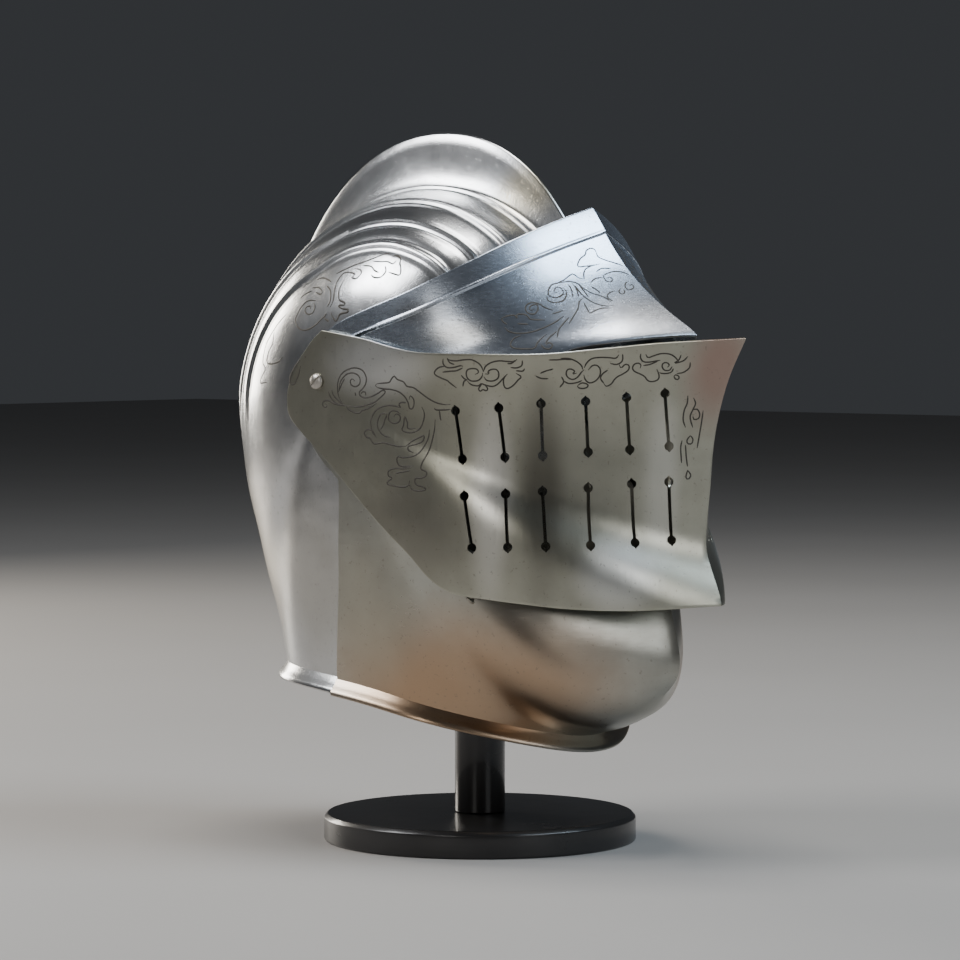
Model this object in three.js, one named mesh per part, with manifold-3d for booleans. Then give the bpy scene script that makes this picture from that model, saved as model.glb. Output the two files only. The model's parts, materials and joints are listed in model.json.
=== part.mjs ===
// A close helmet on its plain round stand, in millimetres, +Z up.
// The wearer's left is +X and the face looks along -Y. The origin is the centre of the
// stand's underside. Every plate is a sheet bent round one cross axis, the pivot axis, so
// its form is given as sections by planes through that axis: at each angle (0 forward,
// 90 up) a section reaches out to the keel and bulges sideways to the pivot.
import * as THREE from "three";
import { mergeVertices } from "three/addons/utils/BufferGeometryUtils.js";
import Module from "manifold-3d";

const wasm = await Module();
wasm.setup();

// driving dimensions
const pivotForward = -28.7; // pivot axis ahead of the stand's centre (negative: behind it)
const pivotHeight = 256;
const wall = 1.6; // plate thickness
const seat = 0.3; // running gap between pieces that touch
const slotWidth = 1.8;
const slotHole = 2.5; // radius of the round ends
const shankRadius = 2.7;
const boreRadius = 3.0;
const headRadius = 4.3;
const baseRadius = 87;
const baseHeight = 15;
const postRadius = 14;
const padRadius = 20;
const padDrop = 1.1; // pad's top below the lowest height of the bowl's inside over it

// Sections of each plate: reach is the keel's distance from the pivot axis, fullness and
// roundness shape the bulge: width = half * (1 - (r / reach) ^ fullness) ^ roundness
const skull = {
  half: 95,
  sections: [
    { angle: -60, reach: 262, fullness: 2.9, roundness: 0.42 },
    { angle: -30, reach: 112, fullness: 3.4, roundness: 0.42 },
    { angle: 20, reach: 112, fullness: 3.2, roundness: 0.42 },
    { angle: 41, reach: 112, fullness: 3.2, roundness: 0.335 },
    { angle: 60, reach: 109.3, fullness: 3.3, roundness: 0.438 },
    { angle: 85, reach: 107.3, fullness: 2.84, roundness: 0.555 },
    { angle: 110, reach: 107.9, fullness: 2.43, roundness: 0.632 },
    { angle: 130, reach: 109.5, fullness: 2.35, roundness: 0.624 },
    { angle: 150, reach: 112.2, fullness: 2.33, roundness: 0.587 },
    { angle: 180, reach: 121, fullness: 2.32, roundness: 0.535 },
    { angle: 211, reach: 133.4, fullness: 2.33, roundness: 0.479 },
    { angle: 232, reach: 151.2, fullness: 2.38, roundness: 0.412 },
    { angle: 245, reach: 190, fullness: 2.3, roundness: 0.48 },
    { angle: 255, reach: 232, fullness: 2.6, roundness: 0.45 },
    { angle: 270, reach: 262, fullness: 2.8, roundness: 0.42 },
    { angle: 300, reach: 262, fullness: 2.9, roundness: 0.42 },
  ],
};
const visor = {
  half: 97.6,
  sections: [
    { angle: -180, reach: 142, fullness: 4.0, roundness: 1 },
    { angle: -8, reach: 196, fullness: 2.7, roundness: 1 },
    { angle: 0, reach: 191, fullness: 2.7, roundness: 1 },
    { angle: 8, reach: 181.5, fullness: 2.8, roundness: 1 },
    { angle: 12, reach: 168, fullness: 3.0, roundness: 1 },
    { angle: 16, reach: 158, fullness: 3.3, roundness: 1 },
    { angle: 24, reach: 146, fullness: 3.8, roundness: 1 },
    { angle: 31, reach: 142, fullness: 4.0, roundness: 1 },
    { angle: 41, reach: 142.4, fullness: 4.0, roundness: 1 },
    { angle: 180, reach: 142, fullness: 4.0, roundness: 1 },
  ],
};
const bevor = {
  half: 99.9,
  sections: [
    { angle: -180, reach: 262, fullness: 3, roundness: 0.5 },
    { angle: -100, reach: 265, fullness: 3, roundness: 0.5 },
    { angle: -90, reach: 270, fullness: 3, roundness: 0.5 },
    { angle: -80, reach: 268, fullness: 3, roundness: 0.5 },
    { angle: -73, reach: 249, fullness: 3, roundness: 0.42 },
    { angle: -66, reach: 228, fullness: 3, roundness: 0.42 },
    { angle: -61.4, reach: 225, fullness: 3, roundness: 0.39 },
    { angle: -57.3, reach: 230.5, fullness: 3, roundness: 0.375 },
    { angle: -54, reach: 227, fullness: 3, roundness: 0.466 },
    { angle: -50, reach: 231.8, fullness: 3, roundness: 0.545 },
    { angle: -46, reach: 229, fullness: 3, roundness: 0.84 },
    { angle: -42.5, reach: 231.5, fullness: 3, roundness: 1.17 },
    { angle: -39.4, reach: 214.7, fullness: 3, roundness: 1.4 },
    { angle: -36.8, reach: 201, fullness: 3, roundness: 1.2 },
    { angle: -29, reach: 187, fullness: 3, roundness: 1 },
    { angle: -15, reach: 180, fullness: 3, roundness: 1 },
    { angle: 180, reach: 180, fullness: 3, roundness: 1 },
  ],
};
const ventail = {
  half: 102.5,
  sections: [
    { angle: -180, reach: 260, fullness: 4.5, roundness: 0.8 },
    { angle: -75, reach: 260, fullness: 4.5, roundness: 0.8 },
    { angle: -56, reach: 256, fullness: 4.0, roundness: 0.85 },
    { angle: -40, reach: 245, fullness: 3.2, roundness: 0.95 },
    { angle: -31, reach: 229.4, fullness: 2.9, roundness: 1 },
    { angle: -26.7, reach: 209, fullness: 2.8, roundness: 1 },
    { angle: -21.3, reach: 199.7, fullness: 2.75, roundness: 1 },
    { angle: -16.8, reach: 196.3, fullness: 2.7, roundness: 1 },
    { angle: -10.6, reach: 193, fullness: 2.7, roundness: 1 },
    { angle: -4.1, reach: 194.8, fullness: 2.7, roundness: 1 },
    { angle: 1.7, reach: 201.6, fullness: 2.7, roundness: 1 },
    { angle: 6.4, reach: 212.5, fullness: 2.7, roundness: 1 },
    { angle: 12, reach: 228, fullness: 2.7, roundness: 1 },
    { angle: 180, reach: 228, fullness: 2.7, roundness: 1 },
  ],
};
// how far the comb stands above the bowl at the mid-plane
const comb = [
  { angle: 10, height: 6 },
  { angle: 25, height: 9 },
  { angle: 46, height: 15 },
  { angle: 60, height: 23 },
  { angle: 75, height: 28.7 },
  { angle: 90, height: 29.9 },
  { angle: 104, height: 28.2 },
  { angle: 120, height: 22.7 },
  { angle: 136, height: 16 },
  { angle: 150, height: 10.5 },
  { angle: 165, height: 4 },
  { angle: 180, height: 0 },
];
const combEdge = 2; // half-width of the comb's rounded edge
const combFoot = 9; // half-width where the comb meets the bowl
const reeds = { places: [13, 41, 62, 76], half: 3, height: 1.3, from: 20, to: 205 };

// Outlines seen from the side, forward and up from the pivot axis
const lobe = (radius, from, to, steps) =>
  Array.from({ length: steps + 1 }, (_, i) => {
    const turn = THREE.MathUtils.degToRad(from + ((to - from) * i) / steps);
    return [radius * Math.cos(turn), radius * Math.sin(turn)];
  });
const visorOutline = [
  [125, 108],
  [103.3, 88.1],
  [94.3, 77.7],
  [81, 64.8],
  [65.5, 54.3],
  [50.4, 46.6],
  [25.9, 37.5],
  [4.8, 31],
  ...lobe(27.5, 110, 270, 7),
  [60, -14],
  [100, 0],
  [127, 8],
  [132, 17],
  [150.8, 21.8],
  [163, 24],
  [175, 25.4],
  [215, 26.5],
];
const ventailOutline = [
  [240, 23.7],
  [208, 23.7],
  [181, 21.2],
  [161, 18.6],
  [134, 15.4],
  [93, 15.4],
  [66, 16.6],
  [50, 19],
  [33, 23],
  [15, 26.5],
  [3, 26.9],
  [-5.9, 21.3],
  [-15.2, 12],
  [-20.7, 1.6],
  [-22.5, -9.8],
  [-20.6, -19],
  [-10.5, -29],
  [4.9, -41.2],
  [41.9, -74.1],
  [62.3, -91.4],
  [75.9, -105.5],
  [85.4, -110.8],
  [103, -113.7],
  [145, -119],
  [170, -119.7],
  [240, -115.5],
];
// the rim's top line, which dips faster ahead of the pivot
const neck = (forward) => -162.4 - 0.12 * forward - (forward > 0 ? 0.00144 : 0.00065) * forward ** 2;
const neckLine = (from, to, steps, drop) =>
  Array.from({ length: steps + 1 }, (_, i) => {
    const forward = from + ((to - from) * i) / steps;
    return [forward, neck(forward) - drop];
  });
const rimDrop = 4; // where the plate ends inside the rolled rim
const seam = { top: 12.3, rim: 0.5 }; // bevor's rear edge, forward of the pivot
const bevorOutline = [
  ...lobe(20, -80, -300, 9),
  [60, -58],
  [98, -92],
  [150, -98],
  [240, -94],
  [240, neck(150) - rimDrop],
  ...neckLine(150, seam.rim, 8, rimDrop),
  [8.7, -118],
  [seam.top, -70],
];
const skullOutline = [
  [180, 84],
  [40, 19],
  [30, 0],
  [29, -60],
  [27, neck(27) - rimDrop],
  ...neckLine(20, -110, 6, rimDrop),
  [-190, -160],
  [-190, 190],
  [180, 190],
];

// Slots of the ventail by their round ends, forward and up from the pivot axis
const slots = [
  { topForward: 87.3, topUp: -14.6, footForward: 90.7, footUp: -40 },
  { topForward: 109, topUp: -12.9, footForward: 111, footUp: -38.8 },
  { topForward: 128.3, topUp: -10.6, footForward: 127.6, footUp: -38 },
  { topForward: 147, topUp: -9.4, footForward: 146, footUp: -36 },
  { topForward: 163, topUp: -7.3, footForward: 161.6, footUp: -34.8 },
  { topForward: 177.2, topUp: -5.2, footForward: 175.4, footUp: -33.2 },
  { topForward: 94.1, topUp: -59.4, footForward: 98.6, footUp: -86.6 },
  { topForward: 112.3, topUp: -58.2, footForward: 116.2, footUp: -86 },
  { topForward: 127.4, topUp: -56.8, footForward: 133, footUp: -85.4 },
  { topForward: 145.5, topUp: -55, footForward: 149.6, footUp: -85 },
  { topForward: 161.6, topUp: -53, footForward: 163.6, footUp: -84 },
  { topForward: 174.6, topUp: -52, footForward: 174.8, footUp: -83 },
];
// Section of the rolled neck rim: outward from the plate's face, up from the rim's top line
const rimSection = [
  { out: -3.6, up: -1.5 },
  { out: 0.4, up: 0.2 },
  { out: 3.8, up: -2.8 },
  { out: 5.4, up: -6 },
  { out: 3.6, up: -8.6 },
  { out: -3.6, up: -6.9 },
];

// a smooth curve through the rows of a table
function along(rows, key, angle) {
  const last = rows.length - 1;
  const at = THREE.MathUtils.clamp(angle, rows[0].angle, rows[last].angle);
  const slope = (i) => (rows[i + 1][key] - rows[i][key]) / (rows[i + 1].angle - rows[i].angle);
  const tangent = (i) => {
    if (i === 0) return slope(0);
    if (i === last) return slope(last - 1);
    const before = rows[i].angle - rows[i - 1].angle;
    const after = rows[i + 1].angle - rows[i].angle;
    return (slope(i - 1) * after + slope(i) * before) / (before + after);
  };
  let i = 0;
  while (i < last - 1 && at > rows[i + 1].angle) i += 1;
  const span = rows[i + 1].angle - rows[i].angle;
  const t = (at - rows[i].angle) / span;
  return (
    (1 + 2 * t) * (1 - t) ** 2 * rows[i][key] +
    t * (1 - t) ** 2 * span * tangent(i) +
    t * t * (3 - 2 * t) * rows[i + 1][key] +
    t * t * (t - 1) * span * tangent(i + 1)
  );
}

// distance from the pivot axis where a plate's section is as wide as asked
function radiusAt(plate, angle, width, inset = 0) {
  const fullness = along(plate.sections, "fullness", angle);
  const roundness = along(plate.sections, "roundness", angle);
  const reach = along(plate.sections, "reach", angle);
  const keelWall = inset * (roundness > 0.7 ? 1.25 : 1);
  const share = Math.min(1, width / (plate.half - inset));
  return (reach - keelWall) * (1 - share ** (1 / roundness)) ** (1 / fullness);
}

// the bowl's section with its comb and reeds; the inside of the comb is hollow at its foot
function skullRadius(angle, width, inset) {
  const turn = ((angle + 60 + 360) % 360) - 60;
  const bowl = radiusAt(skull, turn, width, inset);
  const height = turn > comb[0].angle && turn < 180 ? along(comb, "height", turn) : 0;
  const edge = inset > 0 ? 0 : combEdge;
  const foot = combFoot - inset * 1.6;
  const share = THREE.MathUtils.clamp((foot - width) / (foot - edge), 0, 1);
  const rise = inset > 0 ? 0.55 * height * share : height * share ** 2.2;
  const fade = Math.min(1, (turn - reeds.from) / 15, (reeds.to - turn) / 25);
  const reed = reeds.places.some((place) => Math.abs(place - width) < 0.01);
  return bowl + rise + (reed && inset === 0 ? Math.max(0, fade) * reeds.height : 0);
}

function toSolid(geometry) {
  geometry.deleteAttribute("normal");
  geometry.deleteAttribute("uv");
  const merged = mergeVertices(geometry, 1e-4);
  return new wasm.Manifold(
    new wasm.Mesh({
      numProp: 3,
      vertProperties: new Float32Array(merged.attributes.position.array),
      triVerts: new Uint32Array(merged.index.array),
    }),
  );
}

function toMesh(solid, name, material) {
  const raw = solid.getMesh();
  const geometry = new THREE.BufferGeometry();
  geometry.setAttribute("position", new THREE.BufferAttribute(raw.vertProperties, 3));
  geometry.setIndex(new THREE.BufferAttribute(raw.triVerts, 1));
  geometry.computeVertexNormals();
  const mesh = new THREE.Mesh(geometry, material);
  mesh.name = name;
  return mesh;
}

const place = (side, forward, up) => [side, -(pivotForward + forward), pivotHeight + up];

// closed bulging body: rings of constant width round the pivot axis, closed at both poles
function bulge(pole, widths, angles, radius) {
  const sides = [...widths.map((w) => -w), 0, ...widths.toReversed()];
  const points = [place(-pole, 0, 0), place(pole, 0, 0)];
  for (const side of sides)
    for (const angle of angles) {
      const turn = THREE.MathUtils.degToRad(angle);
      const r = radius(angle, Math.abs(side));
      points.push(place(side, r * Math.cos(turn), r * Math.sin(turn)));
    }
  const count = angles.length;
  const at = (ring, spoke) => 2 + ring * count + (spoke % count);
  const faces = [];
  for (let spoke = 0; spoke < count; spoke += 1) {
    faces.push(0, at(0, spoke), at(0, spoke + 1));
    faces.push(1, at(sides.length - 1, spoke + 1), at(sides.length - 1, spoke));
    for (let ring = 0; ring < sides.length - 1; ring += 1) {
      faces.push(at(ring, spoke), at(ring + 1, spoke), at(ring, spoke + 1));
      faces.push(at(ring + 1, spoke), at(ring + 1, spoke + 1), at(ring, spoke + 1));
    }
  }
  const geometry = new THREE.BufferGeometry();
  geometry.setAttribute("position", new THREE.Float32BufferAttribute(points.flat(), 3));
  geometry.setIndex(faces);
  return toSolid(geometry);
}

// flat outline cut right across both sides of the helmet
function across(outline) {
  const halfSpan = 150;
  const shape = new THREE.Shape(outline.map(([forward, up]) => new THREE.Vector2(forward, up)));
  const geometry = new THREE.ExtrudeGeometry(shape, { depth: 2 * halfSpan, bevelEnabled: false });
  geometry.applyMatrix4(
    new THREE.Matrix4().makeBasis(
      new THREE.Vector3(0, -1, 0),
      new THREE.Vector3(0, 0, 1),
      new THREE.Vector3(-1, 0, 0),
    ),
  );
  geometry.translate(halfSpan, -pivotForward, pivotHeight);
  return toSolid(geometry);
}

const range = (from, to, step) =>
  Array.from({ length: Math.floor((to - from) / step + 0.5) }, (_, i) => from + i * step);
const bore = () => across(lobe(boreRadius, 0, 330, 11));

function bentPlate(plate, shares, angles, outline) {
  const widths = (half) => shares.map((share) => share * half);
  const inside = plate.half - wall;
  const outer = bulge(plate.half, widths(plate.half), angles, (angle, width) =>
    radiusAt(plate, angle, width),
  );
  const inner = bulge(inside, widths(inside), angles, (angle, width) =>
    radiusAt(plate, angle, width, wall),
  );
  return outer.subtract(inner).intersect(across(outline)).subtract(bore());
}

// point and outward direction on a plate's near side
function onPlate(plate, forward, up, side) {
  const width = (f, u) => {
    const angle = THREE.MathUtils.radToDeg(Math.atan2(u, f));
    const turn = plate === skull && angle < -60 ? angle + 360 : angle;
    const share = Math.hypot(f, u) / along(plate.sections, "reach", turn);
    const fullness = along(plate.sections, "fullness", turn);
    const roundness = along(plate.sections, "roundness", turn);
    return plate.half * Math.max(0, 1 - share ** fullness) ** roundness;
  };
  const step = 0.5;
  const slopeForward = (width(forward + step, up) - width(forward - step, up)) / (2 * step);
  const slopeUp = (width(forward, up + step) - width(forward, up - step)) / (2 * step);
  const normal = new THREE.Vector3(side, slopeForward, -slopeUp).normalize();
  return { point: new THREE.Vector3(...place(side * width(forward, up), forward, up)), normal };
}

function slotCutter(slot, side) {
  const depth = 12;
  const top = onPlate(ventail, slot.topForward, slot.topUp, side);
  const foot = onPlate(ventail, slot.footForward, slot.footUp, side);
  const normal = top.normal.clone().add(foot.normal).normalize();
  const down = foot.point.clone().sub(top.point);
  const length = down.length();
  const aside = new THREE.Vector3().crossVectors(normal, down).normalize();
  const shape = new THREE.Shape();
  const bite = Math.asin(slotWidth / 2 / slotHole);
  const corner = (centre, from, to) => {
    for (let i = 0; i <= 3; i += 1) {
      const turn = from + ((to - from) * i) / 3;
      const x = slotHole * Math.sin(turn);
      const y = centre - slotHole * Math.cos(turn);
      if (shape.curves.length === 0 && shape.currentPoint.lengthSq() === 0) shape.moveTo(x, y);
      else shape.lineTo(x, y);
    }
  };
  corner(0, -Math.PI + bite, Math.PI - bite);
  corner(length, bite, 2 * Math.PI - bite);
  const geometry = new THREE.ExtrudeGeometry(shape, { depth, bevelEnabled: false });
  geometry.translate(0, 0, -depth / 2);
  const out = new THREE.Vector3().crossVectors(aside, down).normalize();
  geometry.applyMatrix4(new THREE.Matrix4().makeBasis(aside, down.normalize(), out));
  geometry.translate(...top.point.toArray());
  return toSolid(geometry);
}

// where the rim's top line meets the mid-plane, ahead of the pivot or behind it
function rimMiddle(plate, nearest, farthest) {
  let inside = nearest;
  let outside = farthest;
  for (let i = 0; i < 30; i += 1) {
    const forward = (inside + outside) / 2;
    const angle = THREE.MathUtils.radToDeg(Math.atan2(neck(forward), forward));
    const turn = plate === skull ? angle + 360 : angle;
    if (Math.hypot(forward, neck(forward)) < along(plate.sections, "reach", turn)) inside = forward;
    else outside = forward;
  }
  return inside;
}

// rolled rim: the rim's section carried along a plate's lower edge, from a forward place on
// the right side round the mid-plane to the same place on the left
function rolledRim(plate, from, middle, steps) {
  const stations = [];
  for (let i = -steps; i <= steps; i += 1) {
    const share = Math.sin((Math.PI / 2) * (1 - Math.abs(i) / steps));
    const forward = from + (middle - from) * share;
    const up = neck(forward);
    const near = onPlate(plate, forward, up, Math.sign(i) || 1);
    const width = i === 0 ? 0 : near.point.x;
    stations.push({ forward, up, width });
  }
  const points = [];
  stations.forEach((station, i) => {
    const before = stations[Math.max(0, i - 1)];
    const after = stations[Math.min(stations.length - 1, i + 1)];
    const run = new THREE.Vector2(after.width - before.width, after.forward - before.forward);
    const toward = Math.sign(middle - from);
    const out = new THREE.Vector2(-run.y, run.x).normalize().multiplyScalar(toward);
    for (const corner of rimSection) {
      const x = station.width + out.x * corner.out;
      const forward = station.forward + out.y * corner.out;
      points.push(place(x, forward, station.up + corner.up));
    }
  });
  const size = rimSection.length;
  const faces = [];
  const add = (a, b, c) => (middle > from ? faces.push(a, c, b) : faces.push(a, b, c));
  for (let i = 0; i < stations.length - 1; i += 1)
    for (let k = 0; k < size; k += 1) {
      const a = i * size + k;
      const b = i * size + ((k + 1) % size);
      add(a, a + size, b);
      add(b, a + size, b + size);
    }
  for (let k = 1; k < size - 1; k += 1) {
    const end = (stations.length - 1) * size;
    add(0, k, k + 1);
    add(end, end + k + 1, end + k);
  }
  const geometry = new THREE.BufferGeometry();
  geometry.setAttribute("position", new THREE.Float32BufferAttribute(points.flat(), 3));
  geometry.setIndex(faces);
  return toSolid(geometry);
}

function makeSkull(material) {
  const skullSpokes = [
    ...range(-60, 72, 12),
    ...range(72, 108, 9),
    ...range(108, 216, 12),
    ...range(216, 280, 8),
    ...range(280, 300, 10),
  ];
  const reedLines = reeds.places.flatMap((w) => [w + reeds.half, w, w - reeds.half]);
  const outerWidths = [94.4, 91.5, 86, ...reedLines, 27, 4.6, combEdge];
  outerWidths.sort((a, b) => b - a);
  const innerWidths = [92.6, 88.5, 79, 65, 48, 30, combFoot - 2.5, 3.2];
  const outer = bulge(skull.half, outerWidths, skullSpokes, (angle, width) =>
    skullRadius(angle, width, 0),
  );
  const inner = bulge(skull.half - wall, innerWidths, skullSpokes, (angle, width) =>
    skullRadius(angle, width, wall),
  );
  const bowl = outer.subtract(inner).intersect(across(skullOutline)).subtract(bore());
  return toMesh(bowl.add(rolledRim(skull, 0, rimMiddle(skull, -60, -110), 12)), "skull", material);
}

// spokes close together where the plate shows, wide apart where its outline cuts it away
const spokes = (from, to, step) => [...range(from, to, step), ...range(to, from + 360, 20)];

function makeVisor(material) {
  const shares = [0.997, 0.985, 0.93, 0.83, 0.7, 0.53, 0.35, 0.17];
  return toMesh(bentPlate(visor, shares, spokes(-12, 48, 6), visorOutline), "visor", material);
}

function makeVentail(material) {
  const shares = [0.997, 0.975, 0.9, 0.78, 0.6, 0.4, 0.2];
  let plate = bentPlate(ventail, shares, spokes(-66, 12, 6), ventailOutline);
  for (const slot of slots)
    for (const side of [-1, 1]) plate = plate.subtract(slotCutter(slot, side));
  return toMesh(plate, "ventail", material);
}

function makeBevor(material) {
  const shares = [0.997, 0.98, 0.94, 0.84, 0.68, 0.48, 0.24];
  const plate = bentPlate(bevor, shares, spokes(-96, -26, 5), bevorOutline);
  return toMesh(plate.add(rolledRim(bevor, seam.rim + 1, rimMiddle(bevor, 80, 140), 11)), "bevor", material);
}

function turned(profile, segments) {
  const geometry = new THREE.LatheGeometry(
    profile.map(([radius, height]) => new THREE.Vector2(radius, height)),
    segments,
  );
  geometry.rotateX(Math.PI / 2);
  return geometry;
}

// slotted dome head outside, shank through the bores and a flange inside
function makeScrew(side, material) {
  const headSeat = ventail.half + seat;
  const flangeSeat = skull.half - wall - seat;
  const profile = [
    [0, flangeSeat - 3],
    [6, flangeSeat - 3],
    [6, flangeSeat],
    [shankRadius, flangeSeat],
    [shankRadius, headSeat],
    [headRadius, headSeat],
    [headRadius, headSeat + 0.8],
    [headRadius * 0.75, headSeat + 1.9],
    [headRadius * 0.4, headSeat + 2.4],
    [0, headSeat + 2.5],
  ];
  const geometry = turned(profile, 12);
  const driver = new THREE.BoxGeometry(12, 1.1, 2.4).toNonIndexed();
  driver.rotateZ(Math.PI / 4);
  driver.translate(0, 0, headSeat + 2.7);
  const solid = toSolid(geometry).subtract(toSolid(driver));
  const mesh = toMesh(solid, side < 0 ? "pivot_screw_right" : "pivot_screw_left", material);
  mesh.rotation.y = (side * Math.PI) / 2;
  mesh.position.set(0, -pivotForward, pivotHeight);
  return mesh;
}

// height of the bowl's inside above the stand's underside
function insideHeight(forward, width) {
  let low = 40;
  let high = 130;
  for (let i = 0; i < 30; i += 1) {
    const up = (low + high) / 2;
    const angle = THREE.MathUtils.radToDeg(Math.atan2(up, forward));
    const room = skullRadius(angle, width, wall) - Math.hypot(forward, up);
    if (room > 0) low = up;
    else high = up;
  }
  return pivotHeight + low;
}

function makePost(material) {
  const edge = range(0, 360, 15).map((angle) => THREE.MathUtils.degToRad(angle));
  const heights = edge.map((turn) =>
    insideHeight(padRadius * Math.cos(turn) - pivotForward, Math.abs(padRadius * Math.sin(turn))),
  );
  const padTop = Math.min(...heights) - padDrop;
  const foot = baseHeight + seat;
  const profile = [
    [0, foot],
    [postRadius, foot],
    [postRadius, padTop - 22],
    [padRadius, padTop - 10],
    [padRadius, padTop],
    [0, padTop],
  ];
  const mesh = new THREE.Mesh(turned(profile, 20), material);
  mesh.name = "stand_post";
  return mesh;
}

function makeBase(material) {
  const bevel = 2.2;
  const profile = [
    [0, 0],
    [baseRadius - 0.8, 0],
    [baseRadius, 0.8],
    [baseRadius, baseHeight - bevel],
    [baseRadius - bevel, baseHeight],
    [0, baseHeight],
  ];
  const mesh = new THREE.Mesh(turned(profile, 48), material);
  mesh.name = "stand_base";
  return mesh;
}

const steel = new THREE.MeshStandardMaterial({ color: "#a9adb0", roughness: 0.32, metalness: 1 });
const warmSteel = new THREE.MeshStandardMaterial({ color: "#9c9a90", roughness: 0.36, metalness: 1 });
const screwSteel = new THREE.MeshStandardMaterial({ color: "#8f8a80", roughness: 0.4, metalness: 1 });
const satinBlack = new THREE.MeshStandardMaterial({ color: "#1b1a19", roughness: 0.35, metalness: 0.5 });

const helmet = new THREE.Group();
helmet.add(makeSkull(steel), makeVisor(steel), makeVentail(warmSteel), makeBevor(warmSteel));
helmet.add(makeScrew(-1, screwSteel), makeScrew(1, screwSteel));
const stand = new THREE.Group();
stand.add(makePost(satinBlack), makeBase(satinBlack));
helmet.add(stand);

export default helmet;
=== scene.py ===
import json
import math

import bpy
import numpy as np
from mathutils import Matrix, Vector


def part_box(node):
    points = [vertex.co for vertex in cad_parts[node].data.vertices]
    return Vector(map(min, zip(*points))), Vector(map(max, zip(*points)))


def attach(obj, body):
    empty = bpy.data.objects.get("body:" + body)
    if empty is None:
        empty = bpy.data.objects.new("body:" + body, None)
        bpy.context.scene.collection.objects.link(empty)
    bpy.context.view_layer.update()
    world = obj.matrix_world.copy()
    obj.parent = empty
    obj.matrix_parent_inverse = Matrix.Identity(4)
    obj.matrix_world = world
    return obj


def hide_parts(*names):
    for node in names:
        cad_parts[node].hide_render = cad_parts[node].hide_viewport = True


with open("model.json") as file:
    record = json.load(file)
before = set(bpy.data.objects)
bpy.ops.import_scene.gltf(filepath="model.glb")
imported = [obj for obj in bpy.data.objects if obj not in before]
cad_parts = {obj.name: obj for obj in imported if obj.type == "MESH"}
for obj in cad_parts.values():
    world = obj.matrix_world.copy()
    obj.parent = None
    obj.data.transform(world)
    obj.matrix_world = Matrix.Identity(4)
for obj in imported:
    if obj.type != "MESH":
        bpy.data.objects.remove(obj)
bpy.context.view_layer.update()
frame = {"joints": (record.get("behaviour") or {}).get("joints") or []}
print("frame loaded")

# The plates are sheets bent round the pivot axis. A section by a plane through that axis reaches
# out to the keel, and its half width at radius r is half * (1 - (r / reach) ** full) ** round.
# Tables are in millimetres and degrees, 0 forward and 90 up.
mm = 0.001
joints = {joint["name"]: joint for joint in frame["joints"]}
pivot = Vector(joints["visor_hinge"]["pos_m"])
plateWall = 1.6


def place(side, forward, up):  # helmet's own directions to the frame's metres
    return Vector((side * mm, pivot.y - forward * mm, pivot.z + up * mm))


def smoothStep(low, high, value):
    t = min(1.0, max(0.0, (value - low) / (high - low)))
    return t * t * (3 - 2 * t)


class Sections:
    # a plate's table, eased so that the sheet has no kink between its rows
    step = 0.25

    def __init__(self, half, easing, columns, rows):
        self.half = half
        first, last = rows[0][0], rows[-1][0]
        self.angles = np.arange(first, last + self.step, self.step)
        window = np.hanning(int(2 * easing / self.step) + 3)
        window /= window.sum()
        angle = [row[0] for row in rows]
        self.values = {}
        for i, column in enumerate(columns[1:], 1):
            line = hermite(angle, [row[i] for row in rows], self.angles)
            pad = len(window) // 2
            line = np.convolve(np.pad(line, pad, mode="edge"), window, mode="valid")
            self.values[column] = line

    def at(self, column, angle):
        return float(np.interp(angle, self.angles, self.values[column]))

    def width(self, forward, up):
        angle = math.degrees(math.atan2(up, forward))
        if angle < self.angles[0]:
            angle += 360
        share = math.hypot(forward, up) / self.at("reach", angle)
        if share >= 1:
            return 0.0
        return self.half * (1 - share ** self.at("full", angle)) ** self.at("round", angle)

    def radius(self, angle, width):
        share = min(1.0, width / self.half)
        inner = 1 - share ** (1 / self.at("round", angle))
        return self.at("reach", angle) * max(0.0, inner) ** (1 / self.at("full", angle))

    def keel(self, angle):
        reach = self.at("reach", angle)
        turn = math.radians(angle)
        return reach * math.cos(turn), reach * math.sin(turn)

    def outward(self, forward, up):  # direction off the sheet as side, forward, up
        reach = 0.6
        ahead = self.width(forward + reach, up) - self.width(forward - reach, up)
        above = self.width(forward, up + reach) - self.width(forward, up - reach)
        return Vector((2 * reach, -ahead, -above)).normalized()


def hermite(xs, ys, at):
    xs, ys = np.array(xs, float), np.array(ys, float)
    gap = np.diff(xs)
    slope = np.diff(ys) / gap
    tangent = np.empty(len(xs))
    tangent[0], tangent[-1] = slope[0], slope[-1]
    tangent[1:-1] = (slope[:-1] * gap[1:] + slope[1:] * gap[:-1]) / (gap[:-1] + gap[1:])
    i = np.clip(np.searchsorted(xs, at, side="right") - 1, 0, len(xs) - 2)
    t = (np.clip(at, xs[0], xs[-1]) - xs[i]) / gap[i]
    rise = (1 + 2 * t) * (1 - t) ** 2 * ys[i] + t * t * (3 - 2 * t) * ys[i + 1]
    lean = t * (1 - t) ** 2 * tangent[i] + t * t * (t - 1) * tangent[i + 1]
    return rise + lean * gap[i]


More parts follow.
